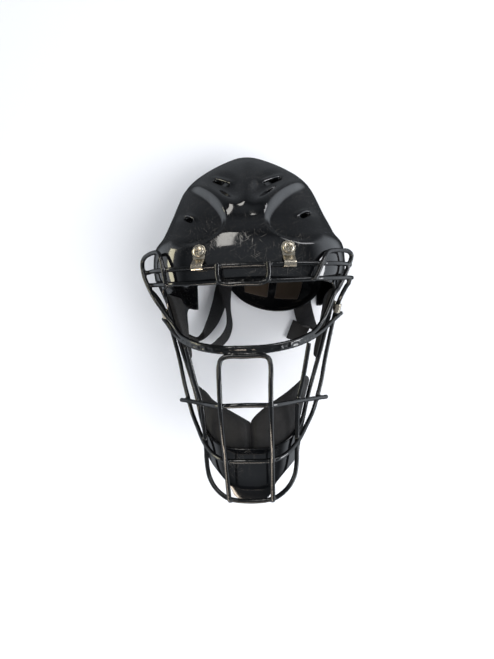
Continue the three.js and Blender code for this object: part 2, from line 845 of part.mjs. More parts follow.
// A thin pad on the dish: u and v ranges, in the dish's own -1 to 1.
function buildBackPad([u0, u1], [v0, v1]) {
  const thickness = 3;
  const sheet = (height) => (u, v) => platePoint(lerp(u0, u1, u), lerp(v0, v1, v), height);
  const seat = PLATE.thickness + 2 * GAP;
  return slab(sheet(seat + thickness), sheet(seat), 4, 4);
}

// ---------------------------------------------------------------- straps

const STRAP_THICKNESS = 1.8;

// Centre lines: x, y, z, then the direction across the strap as a turn about the line in degrees, and the width.
const LEFT_UPPER_STRAP = [
  [-78.5, -7.1, 77, 86, 22],
  [-74, -8, 62, 80, 22],
  [-66.3, -0.2, 46, 66, 22],
  [-57.6, 15.7, 33, 50, 22],
  [-50.7, 36.3, 23, 38, 22],
  [-45.4, 55.8, 16, 26, 23],
  [-36.8, 78.2, 11.5, 14, 24],
  [-28, 92, 9.4, 6, 24],
];
const LEFT_LOWER_STRAP = [
  [-76, -15.8, 90, 86, 20],
  [-67, -21.2, 72, 72, 20],
  [-53.5, -19.6, 56, 58, 20],
  [-41.3, -9, 45, 62, 20],
  [-35.5, 6.8, 38, 72, 20],
  [-36.8, 25.8, 33.5, 78, 20],
  [-39, 43.7, 33, 62, 21],
  [-40, 60, 32, 36, 22],
  [-35, 76, 31, 10, 22],
];
const RIGHT_STRAP = [
  [62, 42, 6.5, -8, 26],
  [64, 27, 8, -10, 26],
  [67, 13, 12, -16, 26],
  [71, 3, 20, -38, 25],
  [75.5, -3, 42, -72, 24],
  [78.2, -6, 74, -84, 22],
];
const RIGHT_STRAP_END = [
  [65.5, -13, 7, -6, 27],
  [60, -9.5, 5.5, -4, 27],
  [54, -5, 5.5, 0, 27],
  [45, -1, 7.5, 4, 27],
];

// A ribbon along a table of centres, ending at the shell's wall. A turn of zero lays it flat on the floor.
function buildStrap(rows) {
  const reads = (u) => readTable(rows, u * (rows.length - 1));
  const frame = (u) => {
    const [x, y, z, turn, width] = reads(u);
    const ahead = reads(Math.min(u + 0.01, 1));
    const behind = reads(Math.max(u - 0.01, 0));
    const along = new THREE.Vector3(ahead[0] - behind[0], ahead[1] - behind[1], ahead[2] - behind[2]).normalize();
    const level = along.clone().cross(new THREE.Vector3(0, 0, 1)).normalize();
    const across = level.applyAxisAngle(along, degToRad(turn));
    return { centre: new THREE.Vector3(x, y, z), across, out: across.clone().cross(along), width };
  };
  const sheet = (sign) => (u, v) => {
    const { centre, across, out, width } = frame(u);
    return centre.addScaledVector(across, (v - 0.5) * width).addScaledVector(out, (sign * STRAP_THICKNESS) / 2);
  };
  return geometryOf(solidOf(slab(sheet(1), sheet(-1), 12, 1)).intersect(liningRoom));
}

// ---------------------------------------------------------------- assembly

const BLACK_GLOSS = { color: 0x14161a, roughness: 0.14, metalness: 0 };
const COATED_WIRE = { color: 0x121416, roughness: 0.25, metalness: 0.1 };
const NICKEL = { color: 0xc9c3b4, roughness: 0.3, metalness: 1 };
const FOAM = { color: 0x1a1a1b, roughness: 0.95, metalness: 0 };
const BROWN_FOAM = { color: 0x2b2620, roughness: 0.9, metalness: 0 };
const ELASTIC = { color: 0x17171a, roughness: 0.9, metalness: 0 };

const helmet = new THREE.Group();
helmet.position.y = -CENTRE_Y;

function addPiece(name, geometry, finish) {
  const mesh = new THREE.Mesh(geometry, new THREE.MeshStandardMaterial(finish));
  mesh.name = name;
  helmet.add(mesh);
}

addPiece("shell", buildShell(), BLACK_GLOSS);
addPiece("cage", buildCage(), COATED_WIRE);
for (const [label, side] of [
  ["left", -1],
  ["right", 1],
]) {
  const brow = browFixing(side);
  addPiece(`clip_${label}`, brow.clip, NICKEL);
  addPiece(`clip_screw_${label}`, brow.screw, NICKEL);
  const flank = sideFixing(side);
  addPiece(`side_clip_${label}`, flank.clip, NICKEL);
  addPiece(`side_screw_${label}`, flank.screw, NICKEL);
  addPiece(`side_pad_${label}`, buildSidePad(side), FOAM);
  addPiece(`chin_pad_${label}`, buildChinPad(side), FOAM);
}
addPiece("back_plate", buildBackPlate(), BLACK_GLOSS);
addPiece("back_pad_left", buildBackPad([-0.62, -0.08], [-0.6, 0.25]), BROWN_FOAM);
addPiece("back_pad_right", buildBackPad([0.08, 0.62], [-0.6, 0.25]), BROWN_FOAM);
addPiece("strap_left_upper", buildStrap(LEFT_UPPER_STRAP), ELASTIC);
addPiece("strap_left_lower", buildStrap(LEFT_LOWER_STRAP), ELASTIC);
addPiece("strap_right", buildStrap(RIGHT_STRAP), ELASTIC);
addPiece("strap_right_end", buildStrap(RIGHT_STRAP_END), ELASTIC);

export default helmet;
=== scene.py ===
"""A catcher's helmet lying on its back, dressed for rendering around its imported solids.

The shell, cage, clips, screws, pads, rear plate and straps are each rebuilt at full detail from the same
named sizes as the solids, in the same frame: +Z out of the face, +Y towards the crown. Lengths are
millimetres in the maker's own frame, whose Y starts at a fixed height; one function moves it and turns it to
metres.
"""

from __future__ import annotations

import logging
import math
from collections.abc import Callable, Mapping, Sequence
from dataclasses import dataclass, field
from enum import Enum
from typing import Any

import bmesh
import bpy
import numpy as np
from mathutils import Matrix, Vector


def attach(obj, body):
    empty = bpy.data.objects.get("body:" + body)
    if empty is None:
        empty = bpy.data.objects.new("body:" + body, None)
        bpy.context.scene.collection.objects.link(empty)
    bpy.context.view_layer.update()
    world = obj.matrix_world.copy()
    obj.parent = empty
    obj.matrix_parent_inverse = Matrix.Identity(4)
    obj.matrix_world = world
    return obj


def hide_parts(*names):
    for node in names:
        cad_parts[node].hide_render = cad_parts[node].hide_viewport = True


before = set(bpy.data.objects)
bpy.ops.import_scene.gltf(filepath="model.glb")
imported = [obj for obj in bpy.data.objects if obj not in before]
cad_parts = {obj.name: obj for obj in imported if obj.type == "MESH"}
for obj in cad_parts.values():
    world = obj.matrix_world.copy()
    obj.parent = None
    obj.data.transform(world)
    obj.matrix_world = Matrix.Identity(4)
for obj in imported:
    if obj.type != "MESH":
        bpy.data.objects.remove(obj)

Array = np.ndarray
Faces = list[tuple[int, ...]]
Row = tuple[float, ...]
Thing = bpy.types.Object
Tree = bpy.types.NodeTree
Inputs = Mapping[str | int, Any]
LOG = logging.getLogger("helmet")

NOISE = "ShaderNodeTexNoise"
MAP_RANGE = "ShaderNodeMapRange"
BUMP = "ShaderNodeBump"
MATH = "ShaderNodeMath"

MM = 0.001
CROWN_Y = 210.0
CHIN_Y = -172.5
CENTRE_Y = (CROWN_Y + CHIN_Y) / 2
WALL = 4.0
GAP = 0.35
WIRE_RADIUS = 2.4


class Side(Enum):
    """A side of the helmet as seen from in front, with the sign of its X."""

    LEFT = -1
    RIGHT = 1

    @property
    def label(self) -> str:
        """The side's word in names."""
        return self.name.lower()


# ---------------------------------------------------------------- small tools


def to_frame(points: Array) -> Array:
    """Turn millimetres in the maker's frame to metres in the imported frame.

    Args:
        points: Points, three numbers in the last axis.

    Returns:
        The same points in metres, moved along Y.
    """
    return (np.asarray(points, float) - (0.0, CENTRE_Y, 0.0)) * MM


def hex_to_linear(code: str) -> tuple[float, float, float, float]:
    """Turn an sRGB hex colour to linear red, green, blue and alpha.

    Args:
        code: Six hex digits, such as "1a1b1c".

    Returns:
        The linear colour with an alpha of 1.
    """
    parts = [int(code[i : i + 2], 16) / 255 for i in (0, 2, 4)]
    linear = [c / 12.92 if c <= 0.04045 else ((c + 0.055) / 1.055) ** 2.4 for c in parts]
    return (linear[0], linear[1], linear[2], 1.0)


def per_metre(size: float) -> float:
    """Turn the real size of a pattern's cell, in millimetres, to a texture's scale."""
    return 1 / (size * MM)


def fill_inputs(tree: Tree, node: bpy.types.Node, inputs: Inputs) -> None:
    """Fill or link a node's inputs.

    Args:
        tree: The node's tree.
        node: The node.
        inputs: A value, a socket or a node for each input's name or number. A node is linked by its first
            live output.
    """
    for key, value in inputs.items():
        if isinstance(value, bpy.types.Node):
            value = next(socket for socket in value.outputs if socket.enabled)
        if isinstance(value, bpy.types.NodeSocket):
            tree.links.new(value, node.inputs[key])
        else:
            node.inputs[key].default_value = value


def add_node(tree: Tree, kind: str, inputs: Inputs | None = None, **settings: Any) -> bpy.types.Node:
    """Add a node with its settings, and fill or link its inputs.

    Args:
        tree: The shader or geometry tree.
        kind: The node's type name.
        inputs: What fill_inputs takes.
        **settings: Properties of the node.

    Returns:
        The new node.
    """
    node = tree.nodes.new(kind)
    for key, value in settings.items():
        setattr(node, key, value)
    fill_inputs(tree, node, inputs or {})
    return node


def smoothstep(value: Array | float, low: float, high: float) -> Array:
    """Rise smoothly from 0 at low to 1 at high."""
    t = np.clip((np.asarray(value, float) - low) / (high - low), 0.0, 1.0)
    return t * t * (3 - 2 * t)


def unit(vectors: Array) -> Array:
    """Scale vectors in the last axis to length 1."""
    length = np.linalg.norm(vectors, axis=-1, keepdims=True)
    return vectors / np.maximum(length, 1e-12)


def turned(x: Array, y: Array, degrees: float) -> tuple[Array, Array]:
    """Give a place's parts along and across an axis that is turned from X."""
    c, s = math.cos(math.radians(degrees)), math.sin(math.radians(degrees))
    return x * c + y * s, y * c - x * s


def read_table(rows: Array, place: Array | float) -> Array:
    """Read a table of rows at fractional row numbers, on a Catmull-Rom curve.

    Args:
        rows: The table.
        place: Row numbers.

    Returns:
        The rows that were read, with the table's columns in the last axis.
    """
    at = np.asarray(place, float)
    last = len(rows) - 1
    i = np.clip(np.floor(at).astype(int), 0, last - 1)
    t = (at - i)[..., None]
    a, b = rows[np.clip(i - 1, 0, last)], rows[i]
    d, e = rows[np.clip(i + 1, 0, last)], rows[np.clip(i + 2, 0, last)]
    cubic = (3 * (b - d) + e - a) * t
    return b + 0.5 * t * (d - a + t * (2 * a - 5 * b + 4 * d - e + cubic))


def run_along(line: Array) -> Array:
    """Measure the way along a polyline to each of its points."""
    return np.concatenate([[0], np.cumsum(np.linalg.norm(np.diff(line, axis=0), axis=1))])


def cut_evenly(line: Array, count: Callable[[float], int]) -> Array:
    """Cut a polyline at equal steps.

    Args:
        line: The polyline.
        count: Gives the number of stations for a length.

    Returns:
        The stations, with both ends.
    """
    run = run_along(line)
    stations = np.linspace(0, run[-1], count(run[-1]))
    return np.stack([np.interp(stations, run, column) for column in line.T], axis=1)


def smooth_route(points: Array | Sequence[Row], step: float = 1.5) -> Array:
    """Draw a centripetal curve through points and cut it at equal steps.

    Args:
        points: The route's points.
        step: The distance between the stations, in millimetres.

    Returns:
        The stations, with both ends.
    """
    p = np.asarray(points, float)
    p = np.vstack([2 * p[0] - p[1], p, 2 * p[-1] - p[-2]])
    t = np.linspace(0, 1, 33)[:-1, None]
    drawn = []
    for a, b, d, e in zip(p[:-3], p[1:-2], p[2:-1], p[3:]):
        d0, d1, d2 = (max(math.sqrt(float(np.linalg.norm(v))), 1e-4) for v in (b - a, d - b, e - d))
        m1 = ((b - a) / d0 - (d - a) / (d0 + d1) + (d - b) / d1) * d1
        m2 = ((d - b) / d1 - (e - b) / (d1 + d2) + (e - d) / d2) * d1
        start = (2 * t**3 - 3 * t**2 + 1) * b + (t**3 - 2 * t**2 + t) * m1
        drawn.append(start + (3 * t**2 - 2 * t**3) * d + (t**3 - t**2) * m2)
    return cut_evenly(np.vstack([*drawn, p[-2:-1]]), lambda length: max(2, int(round(length / step)) + 1))


def both_sides(half: Sequence[Row]) -> Array:
    """Join a half route, from the middle to one side, with its mirror image."""
    right = np.array(half, float)
    return np.vstack([right[:0:-1] * (-1, 1, 1), right])


def solve_rising(function: Callable[[float], float], value: float, low: float, high: float) -> float:
    """Find where a rising function takes a value, by halving.

    Args:
        function: A function that rises between low and high.
        value: The value to find.
        low: The lowest argument.
        high: The highest argument.

    Returns:
        The argument.
    """
    for _ in range(40):
        middle = (low + high) / 2
        if function(middle) < value:
            low = middle
        else:
            high = middle
    return (low + high) / 2


# ---------------------------------------------------------------- mesh tools


def add_thing(name: str, data: bpy.types.ID) -> Thing:
    """Add an object with its data to the scene, at the origin.

    Args:
        name: Its name.
        data: The mesh, light or camera that it shows.

    Returns:
        The new object.
    """
    thing = bpy.data.objects.new(name, data)
    bpy.context.scene.collection.objects.link(thing)
    return thing


def shade_smooth(mesh: bpy.types.Mesh) -> None:
    """Shade every face of a mesh smooth."""
    mesh.polygons.foreach_set("use_smooth", [True] * len(mesh.polygons))


def make_object(name: str, points: Array, faces: Faces, normals: Array | None = None) -> Thing:
    """Make a smooth-shaded mesh object at the origin from millimetre points.

    Args:
        name: The object's name.
        points: Points in the maker's frame.
        faces: Corner numbers of each face.
        normals: A normal for each point, or None to take them from the faces.

    Returns:
        The object, linked to the scene.
    """
    mesh = bpy.data.meshes.new(name)
    mesh.from_pydata(to_frame(points).tolist(), [], faces)
    shade_smooth(mesh)
    if normals is not None:
        mesh.normals_split_custom_set_from_vertices(unit(normals).tolist())
    mesh.update()
    return add_thing(name, mesh)


def freeze(thing: Thing) -> Thing:
    """Turn an object's live modifiers into plain mesh.

    Args:
        thing: The object.

    Returns:
        The same object.
    """
    graph = bpy.context.evaluated_depsgraph_get()
    source = thing.evaluated_get(graph)
    mesh = bpy.data.meshes.new_from_object(source, preserve_all_data_layers=True, depsgraph=graph)
    thing.modifiers.clear()
    name = thing.name
    if thing.type == "MESH":
        thing.data = mesh
        mesh.name = name
        return thing
    bpy.data.objects.remove(thing)
    return add_thing(name, mesh)


def join(name: str, things: Sequence[Thing]) -> Thing:
    """Join plain mesh objects at the origin into the first one, keeping their materials.

    Args:
        name: The joined object's name.
        things: The objects.

    Returns:
        The joined object.
    """
    first = things[0]
    with bpy.context.temp_override(active_object=first, selected_editable_objects=list(things)):
        bpy.ops.object.join()
    first.name = first.data.name = name
    return first


def grid_faces(rows: int, columns: int, closed: bool = False, start: int = 0) -> Faces:
    """List the quads of a grid of points stored row by row.

    Args:
        rows: How many rows of points.
        columns: How many points in a row.
        closed: Whether each row is a ring.
        start: The number of the first point.

    Returns:
        The corner numbers of each quad.
    """
    faces: Faces = []
    for i in range(rows - 1):
        for j in range(columns if closed else columns - 1):
            k = (j + 1) % columns
            a, b = start + i * columns, start + (i + 1) * columns
            faces.append((a + j, a + k, b + k, b + j))
    return faces


def fan_faces(start: int, columns: int, middle: int) -> Faces:
    """List the triangles between a ring of points and the point in its middle."""
    return [(start + j, start + (j + 1) % columns, middle) for j in range(columns)]


def fix_winding(thing: Thing) -> Thing:
    """Merge doubles and turn a closed mesh's faces outwards.

    Args:
        thing: A closed object.

    Returns:
        The same object.
    """
    work = bmesh.new()
    work.from_mesh(thing.data)
    bmesh.ops.remove_doubles(work, verts=work.verts, dist=1e-6)
    bmesh.ops.recalc_face_normals(work, faces=work.faces)
    work.to_mesh(thing.data)
    work.free()
    shade_smooth(thing.data)
    return thing


def closed_sheet(upper: Array, lower: Array) -> tuple[Array, Faces]:
    """Close two grids of the same shape into one body.

    Args:
        upper: Points of one side, rows by columns by 3.
        lower: Points of the other side.

    Returns:
        All points, and the faces.
    """
    rows, columns = upper.shape[:2]
    count = rows * columns
    faces = grid_faces(rows, columns)
    faces += [face[::-1] for face in grid_faces(rows, columns, start=count)]
    ring = [(0, j) for j in range(columns)] + [(i, columns - 1) for i in range(1, rows)]
    ring += [(rows - 1, j) for j in range(columns - 2, -1, -1)] + [(i, 0) for i in range(rows - 2, 0, -1)]
    edge = [i * columns + j for i, j in ring]
    for a, b in zip(edge, edge[1:] + edge[:1]):
        faces.append((b, a, a + count, b + count))
    return np.vstack([upper.reshape(-1, 3), lower.reshape(-1, 3)]), faces


# ---------------------------------------------------------------- finishes


@dataclass(frozen=True)
class Finish:
    """A material made by one process, with the slot of the record that it belongs to."""

    name: str
    slot: str
    base_hex: str
    roughness: float

    def material(self) -> bpy.types.Material:
        """Make the node material, or return it if it was made before.

        Returns:
            The material.
        """
        known = bpy.data.materials.get(self.name)
        if known:
            return known
        made = bpy.data.materials.new(self.name)
        made.use_nodes = True
        tree = made.node_tree
        tree.nodes.clear()
        inputs = {"Base Color": hex_to_linear(self.base_hex), "Roughness": self.roughness}
        shader = add_node(tree, "ShaderNodeBsdfPrincipled", inputs)
        add_node(tree, "ShaderNodeOutputMaterial", {"Surface": shader})
        where = add_node(tree, "ShaderNodeTexCoord").outputs["Object"]
        fill_inputs(tree, shader, self.dress(tree, where))
        return made

    def dress(self, tree: Tree, where: bpy.types.NodeSocket) -> dict[str, Any]:
        """Build the pattern of the finish.

        Args:
            tree: The material's tree.
            where: The place on the object.

        Returns:
            The shader's inputs.
        """
        return {}

    def tint(
        self, tree: Tree, share: bpy.types.Node | bpy.types.NodeSocket, other_hex: str
    ) -> bpy.types.Node:
        """Blend the base colour towards another by a share."""
        colours = {6: hex_to_linear(self.base_hex), 7: hex_to_linear(other_hex)}
        return add_node(tree, "ShaderNodeMix", {0: share, **colours}, data_type="RGBA")

    def put_on(self, thing: Thing) -> Thing:
        """Give an object this finish alone.

        Args:
            thing: The object.

        Returns:
            The same object.
        """
        thing.data.materials.clear()
        thing.data.materials.append(self.material())
        return thing


@dataclass(frozen=True)
class MouldedPlastic(Finish):
    """Injection-moulded ABS: a hard, deep gloss, dulled in patches by dusty hairline scratches."""

    scuff: float = 0.3
    scratch: float = 0.9
    stretch: Row = (1.0, 0.07, 0.3)
    patch: float = 45.5
    wave: float = 22.2
    dust_hex: str = "4a4641"

    def dress(self, tree: Tree, where: bpy.types.NodeSocket) -> dict[str, Any]:
        """Add scratches in three directions inside scuffed patches, dust, and the slow waves of a moulding.

        Args:
            tree: The node tree.
            where: Where the pattern is looked up.

        Returns:
            The inputs of the shader that it changes.
        """
        scuffs = {"Scale": per_metre(self.patch), "Detail": 4.0, "Roughness": 0.6}
        patches = add_node(tree, NOISE, {"Vector": where, **scuffs})
        worn = add_node(tree, MAP_RANGE, {"Value": patches, "From Min": 0.42, "From Max": 0.68})
        hairs = {"Scale": per_metre(self.scratch / self.stretch[1]), "Detail": 5.0, "Distortion": 0.25}
        scratched = None
        for turn, seed in ((0.5, 0.0), (-0.7, 3.7), (1.5, 8.1)):
            laid = {"Location": (seed,) * 3, "Rotation": (0.3, 0.2, turn), "Scale": self.stretch}
            drawn = add_node(tree, "ShaderNodeMapping", {"Vector": where, **laid}, vector_type="TEXTURE")
            bent = add_node(tree, NOISE, {"Vector": drawn, **hairs})
            line = add_node(tree, MAP_RANGE, {"Value": bent, "From Min": 0.6, "From Max": 0.72})
            if scratched is not None:
                line = add_node(tree, MATH, {0: scratched, 1: line}, operation="MAXIMUM")
            scratched = line
        scratched = add_node(tree, MATH, {0: scratched, 1: worn}, operation="MULTIPLY")
        reach = {"To Min": self.roughness, "To Max": self.roughness + self.scuff}
        rough = add_node(tree, MAP_RANGE, {"Value": scratched, **reach})
        waves = add_node(tree, NOISE, {"Vector": where, "Scale": per_metre(self.wave), "Detail": 1.0})
        soft = add_node(tree, BUMP, {"Height": waves, "Strength": 0.05, "Distance": 2.0 * MM})
        cut = {"Height": scratched, "Strength": 0.12, "Distance": 0.2 * MM, "Normal": soft}
        return {
            "Base Color": self.tint(tree, scratched, self.dust_hex),
            "Roughness": rough,
            "Normal": add_node(tree, BUMP, cut),
            "IOR": 1.54,
            "Coat Weight": 0.25,
            "Coat Roughness": 0.04,
        }


@dataclass(frozen=True)
class DippedVinyl(Finish):
    """Steel wire dipped in black vinyl: glossy, uneven where the coat ran, and rubbed dull in places."""

    run: float = 6.25
    rub: float = 16.7

    def dress(self, tree: Tree, where: bpy.types.NodeSocket) -> dict[str, Any]:
        """Add the runs and rub marks of the coat.

        Args:
            tree: The node tree.
            where: Where the pattern is looked up.

        Returns:
            The inputs of the shader that it changes.
        """
        runs = add_node(tree, NOISE, {"Vector": where, "Scale": per_metre(self.run), "Detail": 2.0})
        marks = {"Scale": per_metre(self.rub), "Detail": 6.0, "Roughness": 0.7}
        rubs = add_node(tree, NOISE, {"Vector": where, **marks})
        reach = {"From Min": 0.4, "From Max": 0.75, "To Min": self.roughness, "To Max": self.roughness + 0.25}
        return {
            "Roughness": add_node(tree, MAP_RANGE, {"Value": rubs, **reach}),
            "Normal": add_node(tree, BUMP, {"Height": runs, "Strength": 0.25, "Distance": 0.6 * MM}),
            "IOR": 1.52,
        }


@dataclass(frozen=True)
class NickelPlate(Finish):
    """Nickel-plated pressed steel: warm bright metal, smudged, with the fine grain of the sheet."""

    smudge: float = 2.63
    grain: float = 0.4
    smudge_hex: str = "a89f8e"

    def dress(self, tree: Tree, where: bpy.types.NodeSocket) -> dict[str, Any]:
        """Add smudges and press grain.

        Args:
            tree: The node tree.
            where: Where the pattern is looked up.

        Returns:
            The inputs of the shader that it changes.
        """
        smudges = add_node(tree, NOISE, {"Vector": where, "Scale": per_metre(self.smudge), "Detail": 5.0})
        grains = add_node(tree, NOISE, {"Vector": where, "Scale": per_metre(self.grain), "Detail": 2.0})
        reach = {"From Min": 0.35, "From Max": 0.7, "To Min": self.roughness, "To Max": self.roughness + 0.22}
        return {
            "Metallic": 1.0,
            "Base Color": self.tint(tree, smudges, self.smudge_hex),
            "Roughness": add_node(tree, MAP_RANGE, {"Value": smudges, **reach}),
            "Normal": add_node(tree, BUMP, {"Height": grains, "Strength": 0.15, "Distance": 0.1 * MM}),
        }


@dataclass(frozen=True)
class FoamSkin(Finish):
    """Foam with a cloth or felt face: matte, pitted at the scale of its cells, cloudy in tone, with lint."""

    cell: float = 0.7
    lint_hex: str = "302e2d"
    sheen: float = 0.06
    cloud: float = 18.2
    lint: float = 1.11

    def dress(self, tree: Tree, where: bpy.types.NodeSocket) -> dict[str, Any]:
        """Add the cells, a cloudy tone and lint.

        Args:
            tree: The node tree.
            where: Where the pattern is looked up.

        Returns:
            The inputs of the shader that it changes.
        """
        cells = add_node(tree, "ShaderNodeTexVoronoi", {"Vector": where, "Scale": per_metre(self.cell)})
        tones = {"Scale": per_metre(self.cloud), "Detail": 6.0, "Roughness": 0.7}
        clouds = add_node(tree, NOISE, {"Vector": where, **tones})
        hairs = {"Scale": per_metre(self.lint), "Detail": 2.0, "Distortion": 1.5}
        lints = add_node(tree, NOISE, {"Vector": where, **hairs})
        specks = add_node(tree, MAP_RANGE, {"Value": lints, "From Min": 0.64, "From Max": 0.8, "To Max": 0.7})
        patches = {"Value": clouds, "From Min": 0.35, "From Max": 0.7, "To Max": 0.35}
        toned = add_node(tree, MAP_RANGE, patches)
        both = add_node(tree, MATH, {0: specks, 1: toned}, operation="MAXIMUM")
        pits = add_node(tree, BUMP, {"Height": cells, "Strength": 0.6, "Distance": 0.3 * MM})
        rolls = {"Height": clouds, "Strength": 0.4, "Distance": 2.0 * MM, "Normal": pits}
        return {
            "Base Color": self.tint(tree, both, self.lint_hex),
            "Normal": add_node(tree, BUMP, rolls),
            "Sheen Weight": self.sheen,
            "Sheen Roughness": 0.5,
            "IOR": 1.45,
        }


@dataclass(frozen=True)
class WovenElastic(Finish):
    """Woven elastic: fine weft across the ribs over its rubber cores, with a faint sheen and a worn tone."""

    pick: float = 0.8
    wear: float = 8.33
    worn_hex: str = "1d1c1e"

    def dress(self, tree: Tree, where: bpy.types.NodeSocket) -> dict[str, Any]:
        """Add the weft across the ribs, and wear.

        Args:
            tree: The node tree.
            where: Where the pattern is looked up.

        Returns:
            The inputs of the shader that it changes.
        """
        along = add_node(tree, "ShaderNodeUVMap", uv_map="weave")
        picks = per_metre(self.pick)
        laid = add_node(tree, "ShaderNodeMapping", {"Vector": along, "Scale": (picks, picks, 1.0)})
        waves = {"Scale": 0.5, "Distortion": 1.2, "Detail": 2.0}
        weft = add_node(tree, "ShaderNodeTexWave", {"Vector": laid, **waves}, bands_direction="X")
        rubbed = {"Scale": per_metre(self.wear), "Detail": 6.0, "Roughness": 0.7}
        wear = add_node(tree, NOISE, {"Vector": where, **rubbed})
        cut = {"Height": weft.outputs["Fac"], "Strength": 0.5, "Distance": 0.3 * MM}
        return {
            "Base Color": self.tint(tree, wear, self.worn_hex),
            "Normal": add_node(tree, BUMP, cut),
            "Sheen Weight": 0.05,
            "Sheen Roughness": 0.4,
        }


SHELL_ABS = MouldedPlastic("abs_black_moulded_gloss", "shell_gloss", "0b0c0e", 0.08)
PLATE_ABS = MouldedPlastic("abs_black_moulded_plate", "shell_gloss", "0d0e10", 0.1, scuff=0.25)
WIRE_VINYL = DippedVinyl("vinyl_black_dipped", "cage_coat", "08090a", 0.07)
NICKEL = NickelPlate("steel_nickel_plated", "nickel", "d2cabb", 0.2)
CHIN_FOAM = FoamSkin("foam_black_cloth_faced", "pad_foam", "101011", 0.85)
SIDE_FELT = FoamSkin("felt_faced_foam_grey_brown", "side_foam", "0e0d0c", 0.95, 0.5, "2c2925", 0.04)
BACK_FELT = FoamSkin("felt_faced_foam_dark_brown", "brown_foam", "3b2f24", 0.95, 0.5, "4b4138", 0.2)
ELASTIC = WovenElastic("polyester_elastic_black_woven", "elastic", "08080a", 0.85)


# ---------------------------------------------------------------- the shell's outer face


# Sections of the outer face, chin to crown: height y, half width, depth z of the widest place, depth of the
# front and of the back, and the powers of the superellipse in front of and behind the widest place.
SECTIONS = np.array(
    [
        [-180, 43.0, 148, 199, 60, 2.8, 3.0],
        [-150, 47.5, 147, 207, 55, 2.8, 3.0],
        [-122, 51.5, 145, 207, 45, 2.9, 3.2],
        [-100, 56.5, 142, 206, 30, 3.4, 3.6],
        [-70, 65.0, 125, 203, 0, 3.6, 4.2],
        [-25, 80.0, 102, 200, -22, 4.0, 5.0],
        [10, 90.0, 96, 203, -26, 4.0, 5.6],
        [35, 96.0, 96, 210, -26, 4.0, 5.6],
        [48, 102.0, 108, 216, -26, 3.2, 5.2],
        [58, 106.5, 118, 218, -25, 2.8, 4.6],
        [74, 107.5, 120, 218, -20, 2.8, 4.0],
        [90, 105.5, 120, 216, -12, 2.7, 3.4],
        [103, 99.0, 112, 210, -5, 2.5, 3.0],
        [116, 94.5, 105, 202, 0, 2.4, 2.7],
        [130, 88.5, 103, 193, 2, 2.4, 2.5],
        [148, 82.5, 100, 178, 5, 2.3, 2.4],
        [164, 76.0, 98, 163, 13, 2.2, 2.3],
        [178, 64.5, 96.5, 148, 26, 2.1, 2.2],
        [191, 47.0, 95.5, 131, 44, 2.0, 2.1],
        [201, 29.5, 94.5, 114, 62, 2.0, 2.0],
        [207.5, 13.5, 93.8, 103, 78, 2.0, 2.0],
        [CROWN_Y, 0.0, 93.5, 93.5, 93.5, 2.0, 2.0],
    ]
)


def outline_distance(points: Array, outline: Array) -> Array:
    """Measure how far points lie outside a closed outline in a plane.

    Args:
        points: Points in the plane, two numbers each.
        outline: The outline's corners in order.

    Returns:
        The distance, negative inside the outline.
    """
    best = np.full(len(points), np.inf)
    inside = np.zeros(len(points), bool)
    for a, b in zip(outline, np.roll(outline, -1, axis=0)):
        edge, to = b - a, points - a
        t = np.clip(to @ edge / max(float(edge @ edge), 1e-9), 0, 1)
        best = np.minimum(best, np.linalg.norm(to - t[:, None] * edge, axis=1))
        crosses = (a[1] > points[:, 1]) != (b[1] > points[:, 1])
        reach = a[0] + (points[:, 1] - a[1]) * edge[0] / (edge[1] if edge[1] else 1e-9)
        inside ^= crosses & (points[:, 0] < reach)
    return np.where(inside, -best, best)


def rounded_line(corners: Sequence[Row], step: float = 2.5) -> Array:
    """Draw a smooth open curve through corners in a plane."""
    return smooth_route([(a, b, 0.0) for a, b in corners], step)[:, :2]


# The crown leans a little to one side above a height, and its mouldings stand a little to the other side.
LEAN = 0.03
LEAN_FROM = 90.0
MIDLINE = 2.0

# The inner edge of the scoop on each side of the crown, running out past the flank: x and y, one side.
SCOOP_EDGE = (
    (130, 192), (66, 167), (41.5, 150), (27, 134), (18.5, 115), (21.5, 101), (35, 89), (54, 83), (80, 84),
    (130, 84),
)

# Hollows of the crown, each on both sides: centre x and y, reach along and across its slanted axis, tilt of
# that axis from X in degrees, and depth.
HOLLOWS = ((21, 155, 36, 17, 55, 4.6), (0, 113, 34, 18, 0, 2.4))

# Raised ridges of the crown: from x, y to x, y, height and half breadth.
RIDGES = ((0, 208, 0, 116, 4.0, 8.5), (2, 121, 66, 168, 2.5, 8.0))

# Vents, each on both sides: centre x and y, length, breadth, tilt in degrees, and the rise of its hood.
VENTS = ((28, 161.5, 23, 7, 27, 3.0), (61.5, 118, 14, 7, 30, 2.0))


def vent_place(x: Array, y: Array, vent: Row) -> tuple[Array, Array]:
    """Give places along a vent's slot and across it, towards the crown.

    Args:
        x: Distance from the middle of the helmet, either side.
        y: Height.
        vent: A row of VENTS.

    Returns:
        The place along the slot and the place across it.
    """
    return turned(np.abs(x - MIDLINE) - vent[0], y - vent[1], vent[4])


def surface_normal(along: Array, around: Array) -> Array:
    """Give the unit normal of two directions in a face, or Y where they vanish.

    Args:
        along: Tangents up the surface.
        around: Tangents round it.

    Returns:
        Unit normals.
    """
    normal = np.cross(along, around)
    flat = np.linalg.norm(normal, axis=-1, keepdims=True) < 1e-4
    return np.where(flat, np.array([0.0, 1.0, 0.0]), unit(normal))


